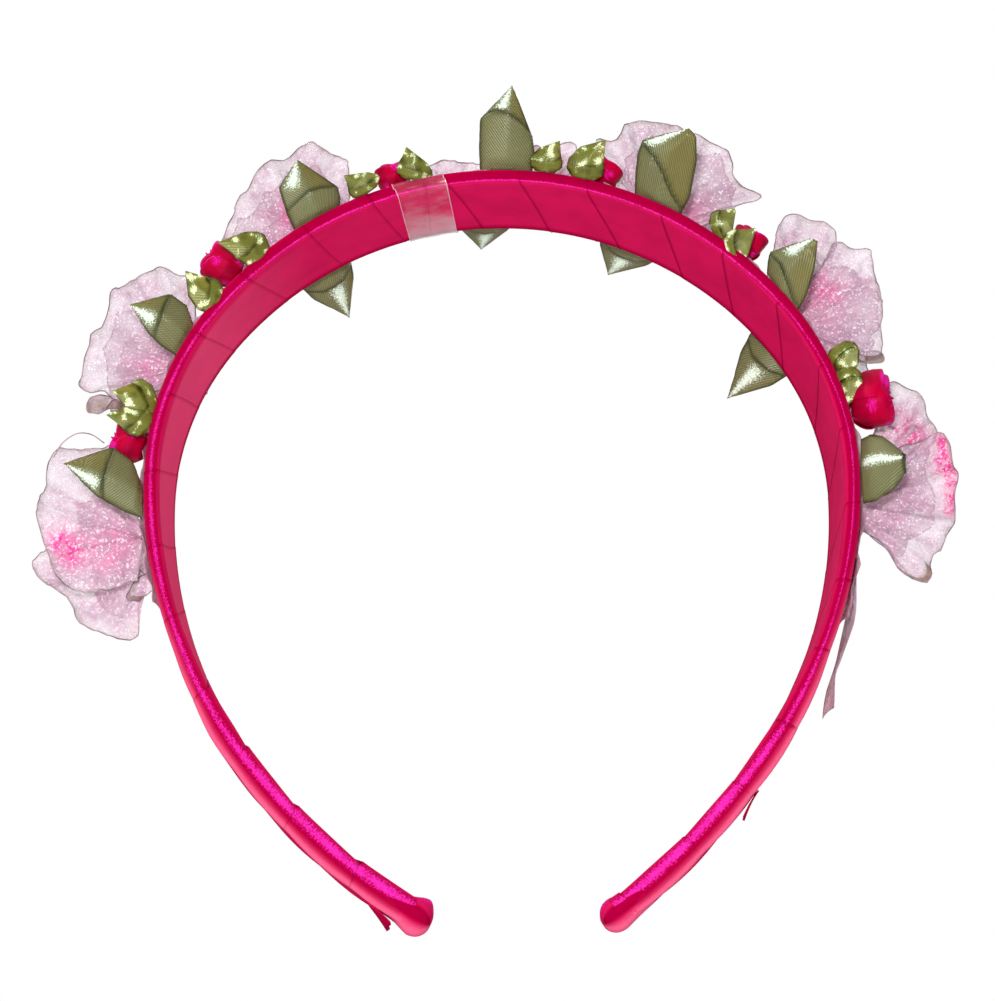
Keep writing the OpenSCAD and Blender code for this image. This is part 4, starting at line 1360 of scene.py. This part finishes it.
def rolled_bud(r, h):
    """Local points (across, up, out) of a bud of radius r and height h that stands on its foot, with
    its faces, how far up each point is and how deep in shade. Petals go round by petal_step radians."""
    rows, columns = 13, 110
    t = np.linspace(0, 1, rows)[:, None]
    f = np.linspace(0, 1, columns)[None, :]
    turn = f * 2 * pi * roll_turns
    swell = 0.60 + 0.40 * np.sin(np.minimum(t / 0.65, 1) * pi / 2) - 0.10 * np.clip((t - 0.75) / 0.25, 0, 1)
    radius = (0.35 + (r - 0.75) * f) * swell + 0.05 * np.sin(3 * turn)
    top = h * (1 - 0.12 * f + 0.05 * np.sin(2.2 * turn))
    core = np.stack([radius * np.cos(turn), t * top, radius * np.sin(turn)], -1)
    points, faces = [core.reshape(-1, 3)], grid_faces(rows, columns)
    ups = [np.broadcast_to(t, core.shape[:2]).ravel()]
    # Painted shade deep in the roll, and low on the petals
    painted_shades = [np.broadcast_to(1 - f, core.shape[:2]).ravel() * 0.5]
    petal_columns = 27
    for k in range(petals):
        p = np.linspace(-1, 1, petal_columns)[None, :]
        at = k * petal_step + 0.5 + p * petal_half
        lip = np.clip((t - 0.62) / 0.38, 0, 1)
        radius = r * swell * (0.94 + 0.03 * k) + lip**1.6 * 0.5 * (1 - p * p) + 0.12 * (1 - np.abs(p))
        up = t * h * (0.98 - 0.10 * k) * (1 - 0.22 * p * p) - lip**3 * 0.35
        points.append(np.stack([radius * np.cos(at), up, radius * np.sin(at)], -1).reshape(-1, 3))
        faces += grid_faces(rows, petal_columns, False, rows * columns + k * rows * petal_columns)
        ups.append(np.broadcast_to(t, (rows, petal_columns)).ravel())
        painted_shades.append(((t < 0.35) * 0.5 + 0 * p).ravel())
    return np.concatenate(points), faces, np.concatenate(ups), np.concatenate(painted_shades)


bud_y = -6.0
# angle, sideways shift, radius, height, sideways lean, towards the viewer, length of ribbon
buds = [
    (-83, -1.0, 3.1, 5.8, 10, 0.6, 24),
    (-48, 2.2, 3.2, 7.0, -8, 0.4, 30),
    (-16.6, -0.6, 2.9, 4.6, 6, 0.2, 18),
    (12.4, 2.2, 3.6, 4.8, 24, 0.0, 23),
    (40, 0.6, 3.0, 5.4, -6, 0.0, 22),
    (77, -2.2, 5.0, 7.4, 6, 0.6, 49),
]
for i, (angle, shift, r, h, tip, near, cut_length) in enumerate(buds, 1):
    local, faces, up, rim = rolled_bud(r, h)
    lean = radians(tip)
    u = local[:, 0] * cos(lean) + local[:, 1] * sin(lean) + shift
    v = local[:, 1] * cos(lean) - local[:, 0] * sin(lean) + r * abs(sin(lean)) * 0.5
    placed = on_band(np.stack([u, v, local[:, 2] + near], -1), angle, trim_foot_d, bud_y)
    uv = np.stack([local[:, 0] + local[:, 2], local[:, 1]], -1)
    turn = np.arctan2(local[:, 2], local[:, 0])
    # Painted highlights on the lips and in patches on the near side, and painted shade in the patches
    # between them
    patch = np.sin(3.0 * turn + 1.3 * i) * np.cos(1.1 * local[:, 1] + i) * (local[:, 2] > 0)
    painted_highlight = np.clip(up * 5 - 4.0, 0, 1) * 0.6 + 0.85 * np.clip(patch * 1.6 - 0.5, 0, 1)
    rim = np.clip(rim + 0.8 * np.clip(-1.5 * patch - 0.5, 0, 1), 0, 1)
    bud = piece(f"satin_rosebud_{i}", placed, faces, rose_satin, uv, {"rim": rim, "painted_highlight": painted_highlight})
    thicken(bud, bud_t)
    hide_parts(f"rosebud_{i}")
    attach(bud, "crown")

# ---------------------------------------------------------------- small bud leaves
# Two small leaves of narrow gold-green satin stand before each bud and two lie behind it,
# folded in the same way as the large ones but from a shinier ribbon.
small_satin = satin(
    "small_leaf_satin",
    deep=(0.035, 0.032, 0.004),
    full=(0.15, 0.16, 0.022),
    soft=(0.24, 0.20, 0.03),
    bright=(0.88, 1.0, 0.58),
    rib=0.30,
    slant=0.5,
    rib_depth=0.03,
    roughness=0.30,
    tint=(1.0, 1.0, 0.6),
    rib_contrast=0.10,
)
small_near_y = -10.0
small_far_y = 9.2
small_lean = 0.42
small_skew = 0.32
small_t = 0.14
far_w = 4.8
far_l = 8.5
far_apart = 3.1
far_turn = 8
# angle, and for the two near leaves: sideways place, turn, width, length, up
bud_leaf_pairs = [
    (-83, [(7.6, -24, 6.6, 7.0, -0.6), (2.2, 16, 6.0, 7.2, -0.6)]),
    (-48, [(7.4, -18, 6.2, 8.2, -1.6), (-3.8, -20, 6.2, 7.4, -1.6)]),
    (-16.6, [(-5.4, -20, 6.0, 4.8, -0.6), (2.6, 24, 6.4, 5.4, -0.6)]),
    (12.4, [(-6.0, -4, 5.8, 5.6, -0.8), (0.6, 4, 6.6, 7.6, -0.8)]),
    (40, [(-5.2, 30, 5.4, 5.2, -0.4), (-1.0, 34, 5.8, 6.0, -1.8)]),
    (77, [(-11.4, 78, 5.8, 6.6, 0.4), (-7.2, 98, 5.2, 7.2, 0.6)]),
]


def small_leaf(width, length, skew):
    """A small leaf whose crooked tip leans by skew and whose pocket hangs open, higher on one side"""
    w, tip = width / 2, (skew * width, length)
    left = [(-0.55 * w, 0), (-0.95 * w, 0.16 * length), (-w, 0.38 * length),
            ((0.3 * skew - 0.66) * w, 0.7 * length), tip]
    right = [(0.55 * w, 0), (0.98 * w, 0.2 * length), (0.96 * w, 0.36 * length),
             ((0.3 * skew + 0.7) * w, 0.6 * length), tip]
    low, high = (0.30, 0.52) if skew > 0 else (0.52, 0.30)
    fold = [(-0.99 * w, low * length), (-0.5 * w, (0.25 + 0.45 * (low - 0.3)) * length), (0, 0.3 * length),
            (0.5 * w, (0.25 + 0.45 * (high - 0.3)) * length), (0.95 * w, high * length)]
    return folded_leaf(left, right, fold, ("tip", 0.5 - 0.5 * skew, 0.2), roof=0.8, belly=0.9, shadow=0.5)


for i, (angle, pair) in enumerate(bud_leaf_pairs, 1):
    points, faces, uvs = [], [], []
    painted = {"rim": [], "painted_highlight": [], "turned": []}
    leaves = [(place, turn, w, l, up, False) for place, turn, w, l, up in pair]
    leaves += [(side * far_apart, side * far_turn, far_w, far_l, 0, True) for side in (-1, 1)]
    for place, turn, w, l, up, far in leaves:
        skew = 0.0 if far else small_skew * (1 if place > pair[1][0] else -1) * (1 if i % 2 else -1)
        local, quads, uv, masks = small_leaf(w, l, skew)
        a = radians(turn)
        u = local[:, 0] * cos(a) + local[:, 1] * sin(a) + place
        v = local[:, 1] * cos(a) - local[:, 0] * sin(a)
        first = sum(len(p) for p in points)
        if far:
            sag = 0.02 * v**2
            laid = np.stack([u, 0.9 - sag - local[:, 2] * 0.8, -v], -1)
            points.append(on_band(laid, angle, trim_foot_d, small_far_y))
        else:
            near = local[:, 2] * cos(small_lean) + v * sin(small_lean)
            rise = v * cos(small_lean) - local[:, 2] * sin(small_lean) + up
            points.append(on_band(np.stack([u, rise, near], -1), angle, trim_foot_d, small_near_y))
        faces += [tuple(first + k for k in quad) for quad in quads]
        uvs.append(uv)
        # A noise mottles the painted shade and the painted highlight into crumpled patches
        crease = np.array([noise.noise((x * 0.8, z * 0.8, i * 2.7 + place)) for x, z, _ in local.tolist()])
        painted["rim"].append(np.clip(masks["rim"] - 1.6 * crease - 0.35, 0, 1))
        painted["painted_highlight"].append(np.clip(0.8 * masks["painted_highlight"] + 2.4 * crease - 0.35, 0, 1))
        painted["turned"].append(masks["turned"])
    masks = {mask: np.concatenate(values) for mask, values in painted.items()}
    uv = np.concatenate(uvs)
    sprig = piece(f"small_leaves_{i}", np.concatenate(points), faces, small_satin, uv, masks)
    thicken(sprig, small_t)
    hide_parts(f"bud_leaves_{i}")
    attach(sprig, "crown")
